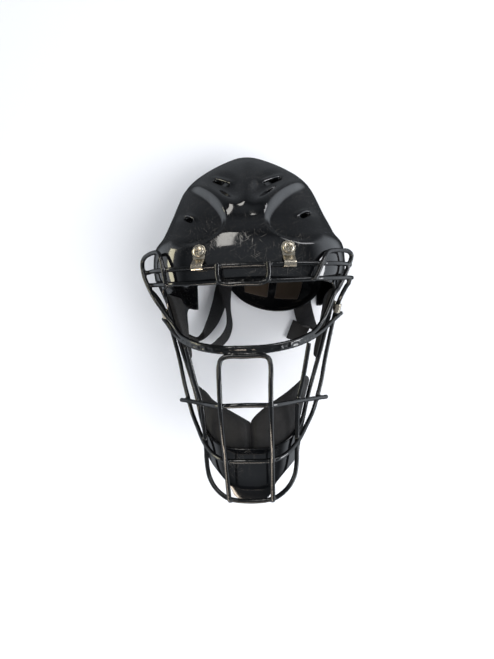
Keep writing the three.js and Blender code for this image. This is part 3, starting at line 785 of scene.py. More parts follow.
@dataclass
class ShellFace:
    """The outer face of the shell, read at a section row and an angle round the section.

    An angle of 90 degrees is the middle of the front. The scoops have a depth, a fillet at their inner edge,
    and two places across: where the floor starts to rise, and where it meets the flank. Ridges fade over a
    share of their length, and a hood has its reach and middle as shares of its vent.
    """

    sections: Array = field(default_factory=lambda: SECTIONS)
    scoop: Array = field(default_factory=lambda: rounded_line(SCOOP_EDGE))
    scoop_depth: float = 7.0
    scoop_fillet: float = 8.0
    scoop_rise: float = 40.0
    scoop_flank: float = 77.0
    ridge_fade: float = 0.25
    hood_reach: float = 0.72
    hood_middle: float = 0.62
    hood_breadth: float = 3.2

    @property
    def last(self) -> float:
        """The row number of the crown."""
        return float(len(self.sections) - 1)

    def scooped(self, side: Array, y: Array) -> Array:
        """Say how far the scoops move the face.

        Args:
            side: Distances from the middle.
            y: Heights.

        Returns:
            The depths.
        """
        places = np.stack([side, y], axis=-1).reshape(-1, 2)
        inside = -outline_distance(places, self.scoop).reshape(side.shape)
        floor = np.clip((self.scoop_flank - side) / (self.scoop_flank - self.scoop_rise), 0, 1)
        return -self.scoop_depth * smoothstep(inside, 0.0, self.scoop_fillet) * floor

    def hollowed(self, side: Array, y: Array, row: Row) -> Array:
        """Say how far one row of HOLLOWS moves the face.

        Args:
            side: Distances from the middle.
            y: Heights.
            row: The hollow.

        Returns:
            The depths.
        """
        cx, cy, along, across, tilt, depth = row
        a, b = turned(side - cx, y - cy, tilt)
        return -depth * smoothstep(1 - np.hypot(a / along, b / across), 0.0, 1.0)

    def ridged(self, side: Array, y: Array, row: Row) -> Array:
        """Say how far one row of RIDGES moves the face.

        Args:
            side: Distances from the middle.
            y: Heights.
            row: The ridge.

        Returns:
            The heights.
        """
        x0, y0, x1, y1, height, breadth = row
        length = (x1 - x0) ** 2 + (y1 - y0) ** 2
        t = np.clip(((side - x0) * (x1 - x0) + (y - y0) * (y1 - y0)) / length, 0, 1)
        off = np.hypot(side - (x0 + t * (x1 - x0)), y - (y0 + t * (y1 - y0)))
        ends = smoothstep(t, -0.01, self.ridge_fade) * smoothstep(1 - t, -0.01, self.ridge_fade)
        return height * np.exp(-((off / breadth) ** 2)) * ends

    def hooded(self, x: Array, y: Array, row: Row) -> Array:
        """Say how far the hood over one row of VENTS moves the face.

        Args:
            x: Places across.
            y: Heights.
            row: The vent.

        Returns:
            The heights.
        """
        a, b = vent_place(x, y, row)
        span = np.clip(1 - (a / (row[2] * self.hood_reach)) ** 2, 0, None) ** 1.5
        return row[5] * span * np.exp(-(((b - row[3] * self.hood_middle) / self.hood_breadth) ** 2))

    def sculpture(self, x: Array, y: Array) -> Array:
        """Say how far the scoops, hollows, ridges and vent hoods move the front face outwards.

        Args:
            x: Places across.
            y: Heights.

        Returns:
            The move along the face's normal, in millimetres.
        """
        side = np.abs(x - MIDLINE)
        moves = [self.scooped(side, y)]
        moves += [self.hollowed(side, y, row) for row in HOLLOWS]
        moves += [self.ridged(side, y, row) for row in RIDGES]
        moves += [self.hooded(x, y, row) for row in VENTS]
        return sum(moves)

    def plain(self, place: Array, angle: Array) -> Array:
        """Give points of the face before the sculpture.

        Args:
            place: Row numbers of the sections.
            angle: Angles round the section.

        Returns:
            The points.
        """
        row = np.moveaxis(read_table(self.sections, place), -1, 0)
        y, half, widest, front, back, front_power, back_power = row
        c, s = np.cos(angle), np.sin(angle)
        ahead = s >= 0
        power = np.where(ahead, front_power, back_power)
        reach = np.where(ahead, front - widest, widest - back)
        radius = (np.abs(c) ** power + np.abs(s) ** power) ** (-1 / power)
        across = np.maximum(half, 0) * radius * c - LEAN * np.maximum(y - LEAN_FROM, 0)
        return np.stack([across, y, widest + reach * radius * s], axis=-1)

    def plain_normal(self, place: Array, angle: Array, step: float = 0.02) -> Array:
        """Give the outward normals of the plain face.

        Args:
            place: Places up the face.
            angle: Angles round it, in radians.
            step: The step between compared points.

        Returns:
            Unit normals.
        """
        high, low = np.minimum(place + step, self.last), np.maximum(place - step, 0)
        along = self.plain(high, angle) - self.plain(low, angle)
        return surface_normal(along, self.plain(place, angle + step) - self.plain(place, angle - step))

    def point(self, place: Array, angle: Array, depth: Array | float = 0.0) -> Array:
        """Give points of the finished face, moved inwards by a depth.

        Args:
            place: Row numbers of the sections.
            angle: Angles round the section.
            depth: How far inwards.

        Returns:
            The points.
        """
        place, angle = np.asarray(place, float), np.asarray(angle, float)
        base = self.plain(place, angle)
        facing = smoothstep(np.sin(angle), 0.1, 0.45)
        move = facing * self.sculpture(base[..., 0], base[..., 1]) - depth
        return base + self.plain_normal(place, angle) * move[..., None]

    def rested(self, place: Array, angle: Array) -> Array:
        """Give points of the face, with the low edge at the back trimmed to the level that it lies on.

        Args:
            place: Places up the face.
            angle: Angles round it, in radians.

        Returns:
            The points.
        """
        points = self.point(place, angle)
        low = (points[..., 1] > 20) & (points[..., 2] < 0)
        points[..., 2] = np.where(low, 0.0, points[..., 2])
        return points

    def normal(self, place: Array, angle: Array, step: float = 0.012) -> Array:
        """Give the outward normals of the finished face.

        Args:
            place: Places up the face.
            angle: Angles round it, in radians.
            step: The step between compared points.

        Returns:
            Unit normals.
        """
        high, low = np.minimum(place + step, self.last - 0.02), np.maximum(place - step, 0.0)
        along = self.rested(high, angle) - self.rested(low, angle)
        return surface_normal(along, self.rested(place, angle + step) - self.rested(place, angle - step))

    def places_at(self, y: Array) -> Array:
        """Find the row numbers at heights."""
        table = np.linspace(0, self.last, 2000)
        return np.interp(y, read_table(self.sections, table)[:, 0], table)

    def place_at(self, y: float) -> float:
        """Find the exact row number at one height."""
        return solve_rising(lambda p: float(read_table(self.sections, p)[0]), y, 0.0, self.last)

    def front_angle(self, place: float, x: float) -> float:
        """Find the angle of the front face at a row and a distance from the middle."""
        return solve_rising(lambda a: -float(self.plain(np.array(place), np.array(a))[0]), -x, 0.0, math.pi)

    def frame_on(self, place: float, angle: float, height: float) -> tuple[Array, Array]:
        """Give a frame on the face: Z outwards and Y towards the crown.

        Args:
            place: The row number.
            angle: The angle round the section.
            height: How far the origin stands off the face.

        Returns:
            The three axes as the columns of a matrix, and the origin.
        """
        normal = self.plain_normal(np.array(place), np.array(angle))
        origin = self.point(place, angle, -height)
        right = unit(np.cross((0.0, 1.0, 0.0), normal))
        return np.stack([right, np.cross(normal, right), normal], axis=1), origin


FACE = ShellFace()


# ---------------------------------------------------------------- the outlines that trim the shell


# The rim of the eye opening, seen from the side: y and z. The first and last rows lie in front of the shell.
EYE_RIM = (
    (47, 320), (47, 250), (47, 208), (43, 180), (33, 158), (12, 149), (-30, 149), (-63, 157), (-86, 170),
    (-101.5, 187), (-112.5, 200), (-118.5, 207), (-121.5, 240), (-121.5, 320),
)

# The lower edge of the side walls and jaw, seen from the side: y and z.
JAW_EDGE = (
    (30, -60), (30, -5), (30, 25), (23, 50), (5, 69), (-12, 90), (-30, 116), (-50, 131), (-75, 139),
    (-100, 145), (-130, 149), (-200, 149),
)

# The lower edge of the chin, seen from the front: x and y, one side.
CHIN_EDGE = (
    (0, CHIN_Y), (13, -171.5), (18.5, -167.5), (22, -159.5), (29, -150.5), (41, -139.5), (48, -135),
    (70, -130),
)


def arch_outline(half: float = 83.0, foot: float = 20.0, shoulder: float = 62.0, top: float = 106.0) -> Array:
    """Draw the arch between the side walls at the back, seen from the front.

    Args:
        half: Its half width.
        foot: The height of its foot.
        shoulder: The height where its sides start to bend.
        top: The height of its top.

    Returns:
        The outline.
    """
    t = np.linspace(0, 1, 24)[:, None]
    bend = shoulder + 0.75 * (top - shoulder)
    a, b, d, e = np.array([(half, shoulder), (half, bend), (half * 0.6, top), (0.0, top)])
    curve = (1 - t) ** 3 * a + 3 * (1 - t) ** 2 * t * b + 3 * (1 - t) * t**2 * d + t**3 * e
    right = np.vstack([[[half, foot]], curve])
    return np.vstack([right, right[::-1][1:] * (-1, 1)])


def chin_outline() -> Array:
    """Draw what lies under the chin, seen from the front.

    Returns:
        The outline.
    """
    half = rounded_line(CHIN_EDGE)
    side, below = CHIN_EDGE[-1][0], -230
    return np.vstack([half[:0:-1] * (-1, 1), half, [[side, below], [-side, below]]])


@dataclass
class Trim:
    """The places where the shell's face is kept: a field is above zero on the shell, below it in an opening.

    The bulge is how far the rounded rims stand out into the openings. The other numbers are depths and
    heights past which an outline doesn't cut.
    """

    bulge: float = 1.2
    chin_depth: float = 100.0
    arch_depth: float = 60.0
    foot_height: float = 20.0
    vent_depth: float = 70.0
    eye: Array = field(default_factory=lambda: rounded_line(EYE_RIM))
    jaw: Array = field(
        default_factory=lambda: np.vstack([rounded_line(JAW_EDGE), [[-260, 149], [-260, -60]]])
    )
    under_chin: Array = field(default_factory=chin_outline)
    arch: Array = field(default_factory=arch_outline)

    def eye_opening(self, p: Array) -> Array:
        """Keep what lies outside the eye opening."""
        return outline_distance(p[:, 1:], self.eye) - self.bulge

    def under_jaw(self, p: Array) -> Array:
        """Keep what lies above the edge of the walls and jaw."""
        return outline_distance(p[:, 1:], self.jaw) - self.bulge

    def chin(self, p: Array) -> Array:
        """Keep what lies above the lower edge of the chin."""
        return np.maximum(outline_distance(p[:, :2], self.under_chin) - self.bulge, self.chin_depth - p[:, 2])

    def back_arch(self, p: Array) -> Array:
        """Keep what lies outside the arch, or in front of it."""
        return np.maximum(outline_distance(p[:, :2], self.arch) - self.bulge, p[:, 2] - self.arch_depth)

    def level(self, p: Array) -> Array:
        """Keep what lies above the level that the helmet rests on."""
        return np.maximum(p[:, 2] - self.bulge, p[:, 1] - self.foot_height)

    def vent(self, row: Row) -> Callable[[Array], Array]:
        """Make the field that keeps what lies outside one pair of vents.

        Args:
            row: A row of VENTS.

        Returns:
            The field.
        """
        length, breadth = row[2:4]
        half = (length - breadth) / 2

        def outside(p: Array) -> Array:
            """Keep what lies outside the slot, or behind the front of the shell.

            Args:
                p: The points.

            Returns:
                How far each is outside.
            """
            a, b = vent_place(p[:, 0], p[:, 1], row)
            slot = np.hypot(a - np.clip(a, -half, half), b) - breadth / 2
            return np.maximum(slot, self.vent_depth - p[:, 2])

        return outside

    def fields(self) -> list[Callable[[Array], Array]]:
        """List every field, in the order of trimming."""
        edges = [self.eye_opening, self.under_jaw, self.chin, self.level, self.back_arch]
        return edges + [self.vent(row) for row in VENTS]


# ---------------------------------------------------------------- the shell


def edges_of(faces: Array) -> Array:
    """List the three directed edges of every triangle."""
    return np.concatenate([faces[:, [0, 1]], faces[:, [1, 2]], faces[:, [2, 0]]])


@dataclass
class Shell:
    """The moulded shell: a trimmed face with a wall behind it and a rounded rim round every opening.

    Its net has equal steps up the middle of the front and round one section. Points that trimming leaves
    closer than the merging distance become one.
    """

    name: str = "shell_moulded"
    spacing: float = 2.2
    girth_row: float = 9.0
    pole_gap: float = 0.03
    merging: float = 0.025
    wall: float = WALL
    rim_steps: int = 6
    trim: Trim = field(default_factory=Trim)

    def net(self) -> tuple[Array, Array]:
        """Lay a net of triangles over the whole closed face.

        Returns:
            Row number and angle of each point, and the corner numbers of each triangle.
        """
        fine = np.linspace(0, FACE.last - self.pole_gap, 1200)
        run = run_along(FACE.plain(fine, np.full_like(fine, math.pi / 2)))
        rows = int(run[-1] / self.spacing)
        places = np.interp(np.linspace(0, run[-1], rows), run, fine)
        turn = np.linspace(0, 2 * math.pi, 1601)
        ring = FACE.plain(np.full(1600, self.girth_row), turn[:-1])
        around = run_along(np.vstack([ring, ring[:1]]))
        columns = int(around[-1] / self.spacing)
        angles = np.interp(np.linspace(0, around[-1], columns + 1)[:-1], around, turn)
        grid = np.stack(np.meshgrid(places, angles, indexing="ij"), axis=-1).reshape(-1, 2)
        quads = np.array(grid_faces(rows, columns, closed=True))
        # Rows run to the crown and columns turn from X towards Z, so these corners face outwards.
        faces = np.vstack([quads[:, [0, 2, 1]], quads[:, [0, 3, 2]]])
        cap = np.array(fan_faces((rows - 1) * columns, columns, len(grid)))[:, [0, 2, 1]]
        return np.vstack([grid, [[FACE.last, math.pi / 2]]]), np.vstack([faces, cap])

    def clip(self, net: Array, faces: Array, keep: Callable[[Array], Array]) -> tuple[Array, Array]:
        """Cut a net along the line where a field is zero, and drop what lies below it.

        Args:
            net: Row number and angle of each point.
            faces: Triangles.
            keep: The field, above zero on what stays.

        Returns:
            The new net and triangles.
        """
        level = keep(FACE.rested(net[:, 0], net[:, 1]))
        good = level > 0
        inside = good[faces].sum(axis=1)
        kept = [faces[inside == 3]]
        mixed = faces[(inside == 1) | (inside == 2)]
        if not len(mixed):
            return self.compact(net, kept[0])
        edges = np.sort(edges_of(mixed), axis=1)
        edges = np.unique(edges[good[edges[:, 0]] != good[edges[:, 1]]], axis=0)
        a, b = net[edges[:, 0]].copy(), net[edges[:, 1]].copy()
        for low, high in ((a, b), (b, a)):
            wrap = high[:, 1] - low[:, 1] > math.pi
            low[wrap, 1] += 2 * math.pi
        fa, fb = level[edges[:, 0]], level[edges[:, 1]]
        for _ in range(4):
            t = (fa / (fa - fb))[:, None]
            middle = a + (b - a) * np.clip(t, 0.02, 0.98)
            fm = keep(FACE.rested(middle[:, 0], middle[:, 1]))
            same = (fm > 0) == (fa > 0)
            a = np.where(same[:, None], middle, a)
            fa = np.where(same, fm, fa)
            b = np.where(same[:, None], b, middle)
            fb = np.where(same, fb, fm)
        cut = a + (b - a) * (fa / (fa - fb))[:, None]
        number = {(int(e[0]), int(e[1])): len(net) + i for i, e in enumerate(edges)}

        def crossing(i: int, j: int) -> int:
            """Give the number of the new point between two others."""
            return number[(min(i, j), max(i, j))]

        made = []
        for corner in mixed.tolist():
            flags = [bool(good[c]) for c in corner]
            k = flags.index(True) if sum(flags) == 1 else flags.index(False)
            p, q, r = corner[k], corner[(k + 1) % 3], corner[(k + 2) % 3]
            pq, pr = crossing(p, q), crossing(p, r)
            if sum(flags) == 1:
                made.append((p, pq, pr))
            else:
                made += [(pq, q, r), (pq, r, pr)]
        return self.compact(np.vstack([net, cut]), np.vstack([*kept, np.array(made)]))

    @staticmethod
    def compact(net: Array, faces: Array) -> tuple[Array, Array]:
        """Drop the points that no triangle uses.

        Args:
            net: All points.
            faces: The faces.

        Returns:
            The points that are used, and the faces over them.
        """
        used = np.unique(faces)
        number = np.full(len(net), -1)
        number[used] = np.arange(len(used))
        return net[used], number[faces]

    def merged(self, net: Array, faces: Array) -> tuple[Array, Array]:
        """Merge points that trimming left too close together.

        Args:
            net: All points.
            faces: The faces.

        Returns:
            The points that are left, and the faces over them.
        """
        points = FACE.rested(net[:, 0], net[:, 1])
        cells = np.round(points / self.merging).astype(int)
        _, first, back = np.unique(cells, axis=0, return_index=True, return_inverse=True)
        faces = back.reshape(-1)[faces]
        good = (faces[:, 0] != faces[:, 1]) & (faces[:, 1] != faces[:, 2]) & (faces[:, 2] != faces[:, 0])
        return net[first], faces[good]

    def outward(self, points: Array, normals: Array) -> Array:
        """Give the direction in the face that points out of the shell at rim points.

        Args:
            points: Points of the rim.
            normals: Their normals.

        Returns:
            Unit directions.
        """
        fields = self.trim.fields()
        values = np.stack([keep(points) for keep in fields])
        nearest = np.argmin(values, axis=0)
        slope = np.zeros_like(points)
        for k, keep in enumerate(fields):
            mine = nearest == k
            if not mine.any():
                continue
            here = points[mine]
            for axis, step in enumerate(0.15 * np.eye(3)):
                slope[mine, axis] = keep(here + step) - keep(here - step)
        slope -= (slope * normals).sum(axis=1, keepdims=True) * normals
        return -unit(slope)

    def rim_directions(self, rim: Sequence[tuple[int, int]], border: list[int], raw: Array) -> Array:
        """Smooth the outward directions along the rims.

        Args:
            rim: The rims' edges.
            border: The rims' points.
            raw: The direction at each of those points.

        Returns:
            The smoothed directions.
        """
        neighbours: dict[int, list[int]] = {}
        for a, b in rim:
            neighbours.setdefault(a, []).append(b)
            neighbours.setdefault(b, []).append(a)
        at = {v: k for k, v in enumerate(border)}
        out = raw
        for _ in range(3):
            out = unit(np.array([out[at[v]] * 2 + sum(out[at[w]] for w in neighbours[v]) for v in border]))
        return out

    def build(self) -> Thing:
        """Build the trimmed face, its inner side and its rims.

        Returns:
            The shell.
        """
        net, faces = self.net()
        for keep in self.trim.fields():
            net, faces = self.clip(net, faces, keep)
        net, faces = self.merged(net, faces)
        points, normals = FACE.rested(net[:, 0], net[:, 1]), FACE.normal(net[:, 0], net[:, 1])
        known = {(int(a), int(b)) for a, b in edges_of(faces)}
        rim = [(a, b) for a, b in known if (b, a) not in known]
        border = sorted({a for a, _ in rim} | {b for _, b in rim})
        out = self.rim_directions(rim, border, self.outward(points[border], normals[border]))
        sheets, facings = [points, points - normals * self.wall], [normals, -normals]
        half = self.wall / 2
        middle = points[border] - normals[border] * half
        for k in range(1, self.rim_steps):
            turn = math.pi / 2 - math.pi * k / self.rim_steps
            s, c = math.sin(turn), math.cos(turn)
            sheets.append(middle + normals[border] * half * s + out * self.trim.bulge * c)
            facings.append(normals[border] * s / half + out * c / self.trim.bulge)
        # Each rim point's numbers, from the outer face round the rim to the inner face.
        count = len(points)
        steps = [np.array(border)]
        steps += [2 * count + k * len(border) + np.arange(len(border)) for k in range(self.rim_steps - 1)]
        steps += [np.array(border) + count]
        way = dict(zip(border, np.stack(steps, axis=1).tolist()))
        made: Faces = [tuple(face) for face in faces.tolist()]
        made += [tuple(face) for face in (faces[:, ::-1] + count).tolist()]
        for a, b in rim:
            for k in range(self.rim_steps):
                made.append((way[b][k], way[a][k], way[a][k + 1], way[b][k + 1]))
        shell = make_object(self.name, np.vstack(sheets), made, np.vstack(facings))
        LOG.info("%s: %d faces", self.name, len(made))
        return SHELL_ABS.put_on(shell)


# ---------------------------------------------------------------- the cage


class Wire(Enum):
    """The wires of the cage by name."""

    UPPER_BROW = "upper_brow_bar"
    LOWER_BROW = "lower_brow_bar"
    EYE_BAR = "eye_bar"
    OUTER_RING = "outer_ring"
    LOWER_RING = "lower_ring"
    MOUTH = "mouth_bar"
    HOOP = "centre_hoop"
    STUB = "brow_stub"


# Routes of the wires' centre lines, from the middle of the helmet to one side: x, y and z.
ROUTES: dict[Wire, tuple[Row, ...]] = {
    Wire.UPPER_BROW: (
        (0, 62, 226), (24.5, 62, 224.7), (45, 62.1, 219.8), (63, 62.4, 214), (78, 62.8, 206.8),
        (92, 63.9, 194), (102, 64.6, 180.5), (109.5, 65, 167.5),
    ),
    Wire.LOWER_BROW: (
        (0, 46.3, 226), (24.5, 46.3, 224.8), (45, 46.5, 219.8), (60, 47, 215.2), (72.5, 47.7, 210.4),
        (85, 48.7, 198.5), (97, 50, 184), (105.8, 51.3, 170.3), (109.6, 52, 162), (112.5, 52.5, 154),
    ),
    Wire.EYE_BAR: (
        (0, -21, 238), (22, -20.3, 236.6), (44, -17, 226.2), (61, -11.6, 210.6), (74, -5, 191),
        (85, 2.8, 168),
        (95.5, 10.6, 144), (103, 15.6, 128),
    ),
    Wire.OUTER_RING: (
        (0, -126, 227), (22.4, -125.6, 224.9), (34, -123, 216.6), (46.8, -114.5, 199.6), (57, -102, 180),
        (65.5, -89, 164.5), (71, -75, 155.3), (76, -60, 148.5), (82, -34, 142), (88.5, -8, 139.5),
        (93.2, 11, 140.3), (99.5, 30, 146), (105, 42, 157), (108, 46.6, 164.5),
    ),
    Wire.LOWER_RING: (
        (0, -168.5, 214.8), (21.4, -166.4, 213.6), (30, -162.6, 210), (38, -156, 205), (43.4, -147, 200),
        (45.8, -134, 196.6), (46.4, -118, 195.4), (47.2, -100, 196.8), (49, -73, 200.7), (54.5, -50, 203.4),
        (58.5, -30, 206.2), (61.3, -15.3, 208.6),
    ),
    Wire.MOUTH: (
        (0, -69.4, 247), (23.4, -70, 244.6), (38, -71, 227), (49.6, -72.5, 204.9), (60.5, -74.4, 182),
        (71.6, -76.2, 159.5), (82.3, -78, 140),
    ),
    Wire.HOOP: (
        (0, -25, 239.9), (17.5, -25, 240), (22, -27, 240.8), (23.9, -33, 243), (23.6, -52, 248.6),
        (23.2, -73, 248.9), (22.7, -105, 238.8), (22.3, -126, 229.6), (21.4, -163, 218.7),
        (21.3, -166.8, 217.7),
    ),
    Wire.STUB: ((0, 44, 229.8), (17, 44, 229.5), (22.6, 46, 229.2), (24.5, 51.5, 229), (24.5, 64.5, 228.9)),
}

# The eye ring: a loop at each side, bent by hand and so not quite alike, from the lower brow bar round to the
# eye bar, and the run along the eye bar that both sides share.
LOOPS: dict[Side, tuple[Row, ...]] = {
    Side.RIGHT: (
        (68.2, 45.8, 216), (71.3, 51.1, 214.5), (75.7, 60.5, 211.5), (79.7, 69, 207), (83.6, 74.6, 201.5),
        (90, 77, 194), (99.2, 78.2, 184), (106.4, 77.9, 177.5), (110.1, 74.6, 173.5), (109.6, 70.4, 172.6),
        (107.3, 64.7, 173), (104.3, 57.8, 174.5), (100.1, 49.3, 177.5), (95.2, 40.8, 182), (89.2, 32.9, 188),
    ),
    Side.LEFT: (
        (-80, 47.8, 208.5), (-80.7, 53.9, 208.5), (-83, 66.7, 207), (-86.1, 77.2, 203), (-89.7, 81.9, 198.5),
        (-95.6, 82.9, 192), (-103.1, 82.3, 184), (-109, 80.6, 177.5), (-112.5, 77.4, 173.5),
        (-113.3, 72.9, 172.6), (-112.8, 67.4, 173), (-111.2, 60.7, 174.5), (-107.5, 52.2, 177.5),
        (-102.3, 43.1, 182), (-96.1, 34, 188),
    ),
}
UNDER_EYES = ((78, 9.5, 194), (67.5, -3.4, 205), (59, -8, 214.6), (44, -13.1, 227.4), (22, -16.5, 237.6))

# The seam of the eye ring over the eye bar, to one side of the middle: its x, where the straight part of the
# right half starts beyond it, how far each half stops from it, and how far it lies up and out from the bar.
SEAM_X = -9.0
SEAM_RUN = 12.0
SEAM_STOP = 1.2
SEAM_UP = 3.9
SEAM_OUT = 1.2


def eye_rings() -> list[Array]:
    """Draw both halves of the eye ring, which meet at the seam over the eye bar.

    Returns:
        The lines.
    """
    _, y, z = ROUTES[Wire.EYE_BAR][0]
    y, z = y + SEAM_UP, z + SEAM_OUT
    right = [*LOOPS[Side.RIGHT], *UNDER_EYES, (SEAM_X + SEAM_RUN, y, z), (SEAM_X + SEAM_STOP, y, z)]
    left = [*LOOPS[Side.LEFT], *((-a, b, d) for a, b, d in UNDER_EYES), (SEAM_X - SEAM_STOP, y, z)]
    return [np.array(half, float) for half in (right, left)]


def open_tree(name: str, sizes: Mapping[str, float | int]) -> tuple[Tree, bpy.types.Node]:
    """Open a geometry tree with named inputs for its sizes.

    Args:
        name: The tree's name.
        sizes: The default of each input; a whole number makes a whole-number input.

    Returns:
        The tree and its input node.
    """
    tree = bpy.data.node_groups.new(name, "GeometryNodeTree")
    tree.interface.new_socket("Geometry", in_out="INPUT", socket_type="NodeSocketGeometry")
    for label, size in sizes.items():
        kind = "NodeSocketInt" if isinstance(size, int) else "NodeSocketFloat"
        tree.interface.new_socket(label, in_out="INPUT", socket_type=kind).default_value = size
    tree.interface.new_socket("Geometry", in_out="OUTPUT", socket_type="NodeSocketGeometry")
    return tree, add_node(tree, "NodeGroupInput")


def close_tree(tree: Tree, made: bpy.types.Node, material: bpy.types.Material) -> Tree:
    """End a geometry tree: realize what it made, and give it a finish.

    Args:
        tree: The tree.
        made: The node whose mesh is the result.
        material: The material to set.

    Returns:
        The tree.
    """
    whole = add_node(tree, "GeometryNodeRealizeInstances", {"Geometry": made})
    dressed = add_node(tree, "GeometryNodeSetMaterial", {"Geometry": whole, "Material": material})
    add_node(tree, "NodeGroupOutput", {"Geometry": dressed})
    return tree


def sweep_tree(material: bpy.types.Material) -> Tree:
    """Build the node tree that sweeps a round section along curves, of a given Radius and number of Sides.

    Args:
        material: The material to set.

    Returns:
        The tree.
    """
    tree, given = open_tree("sweep_wire", {"Radius": WIRE_RADIUS * MM, "Sides": 16})
    size = {"Resolution": given.outputs["Sides"], "Radius": given.outputs["Radius"]}
    section = add_node(tree, "GeometryNodeCurvePrimitiveCircle", size)
    sweep = {"Curve": given.outputs["Geometry"], "Profile Curve": section, "Fill Caps": True}
    return close_tree(tree, add_node(tree, "GeometryNodeCurveToMesh", sweep), material)


def bead_tree(material: bpy.types.Material) -> Tree:
    """Build the node tree that sets a bead of weld on each point, of a Radius that is Uneven by a share.

    Args:
        material: The material to set.

    Returns:
        The tree.
    """
    tree, given = open_tree("weld_beads", {"Radius": 2.9 * MM, "Uneven": 0.12, "Seed": 5})
    ball = add_node(tree, "GeometryNodeMeshIcoSphere", {"Radius": given.outputs["Radius"], "Subdivisions": 3})
    low = add_node(tree, MATH, {0: 1.0, 1: given.outputs["Uneven"]}, operation="SUBTRACT")
    high = add_node(tree, MATH, {0: 1.0, 1: given.outputs["Uneven"]}, operation="ADD")
    spread = {"Min": low, "Max": high, "Seed": given.outputs["Seed"]}
    size = add_node(tree, "FunctionNodeRandomValue", spread, data_type="FLOAT")
    laid = {"Points": given.outputs["Geometry"], "Instance": ball, "Scale": size}
    return close_tree(tree, add_node(tree, "GeometryNodeInstanceOnPoints", laid), material)


def grow(thing: Thing, tree: Tree, **values: float) -> Thing:
    """Run a geometry tree on an object and keep the result as plain mesh.

    Args:
        thing: The curve or mesh object that the tree reads.
        tree: The tree.
        **values: Values of the tree's named inputs.

    Returns:
        The grown object.
    """
    modifier = thing.modifiers.new("grow", "NODES")
    modifier.node_group = tree
    for item in tree.interface.items_tree:
        if item.item_type == "SOCKET" and item.in_out == "INPUT" and item.name in values:
            modifier[item.identifier] = values[item.name]
    return freeze(thing)


def line_object(name: str, lines: Sequence[Array]) -> Thing:
    """Make a curve object of open polylines from millimetre points.

    Args:
        name: Its name.
        lines: The points of each line.

    Returns:
        The object.
    """
    curve = bpy.data.curves.new(name, "CURVE")
    curve.dimensions = "3D"
    for line in lines:
        spline = curve.splines.new("POLY")
        spline.points.add(len(line) - 1)
        flat = np.hstack([to_frame(line), np.ones((len(line), 1))])
        spline.points.foreach_set("co", flat.ravel().tolist())
    return add_thing(name, curve)


@dataclass
class Cage:
    """The face cage: bent wires welded where they cross and at the joint of the eye bar, then dipped as one.

    Two wires touch where their centre lines come within the weld's reach, and two welds lie further apart
    than the weld's spacing. The coat is drawn in cells of a size.
    """

    name: str = "cage_dipped"
    radius: float = WIRE_RADIUS
    sides: int = 16
    coat_cell: float = 0.82
    weld_reach: float = 5.4
    weld_spacing: float = 9.0
    weld_radius: float = 2.75
    bar_joint: Row = (-10.4, -21.0, 238.0)

    def lines(self) -> list[Array]:
        """Draw every wire's centre line."""
        return [smooth_route(line) for line in [*eye_rings(), *map(both_sides, ROUTES.values())]]

    def crossings(self, lines: Sequence[Array]) -> Array:
        """Find where two wires touch.

        Args:
            lines: The wires' centre lines.

        Returns:
            The middle of each crossing.
        """
        found: list[Array] = []
        for i, first in enumerate(lines):
            for second in lines[i + 1 :]:
                apart = np.linalg.norm(first[:, None] - second[None], axis=2)
                close = np.argwhere(apart < self.weld_reach)
                close = close[np.argsort(apart[close[:, 0], close[:, 1]])]
                for a, b in close:
                    spot = (first[a] + second[b]) / 2
                    if all(np.linalg.norm(spot - other) > self.weld_spacing for other in found):
                        found.append(spot)
        return np.array(found)

    def build(self) -> Thing:
        """Sweep the wires, weld them, and run the coat over them.

        Returns:
            The cage.
        """
        finish = WIRE_VINYL.material()
        lines = self.lines()
        welds = np.vstack([self.crossings(lines), self.bar_joint])
        wires, beads = line_object("cage_wires", lines), make_object("cage_beads", welds, [])
        wires = grow(wires, sweep_tree(finish), Radius=self.radius * MM, Sides=self.sides)
        beads = grow(beads, bead_tree(finish), Radius=self.weld_radius * MM)
        cage = join(self.name, [wires, beads])
        coat = cage.modifiers.new("coat", "REMESH")
        coat.mode = "VOXEL"
        coat.voxel_size = self.coat_cell * MM
        coat.use_smooth_shade = True
        settle = cage.modifiers.new("settle", "SMOOTH")
        settle.factor = 0.5
        settle.iterations = 4
        freeze(cage)
        LOG.info("%s: %d faces", self.name, len(cage.data.polygons))
        return WIRE_VINYL.put_on(cage)


# ---------------------------------------------------------------- clips and screws


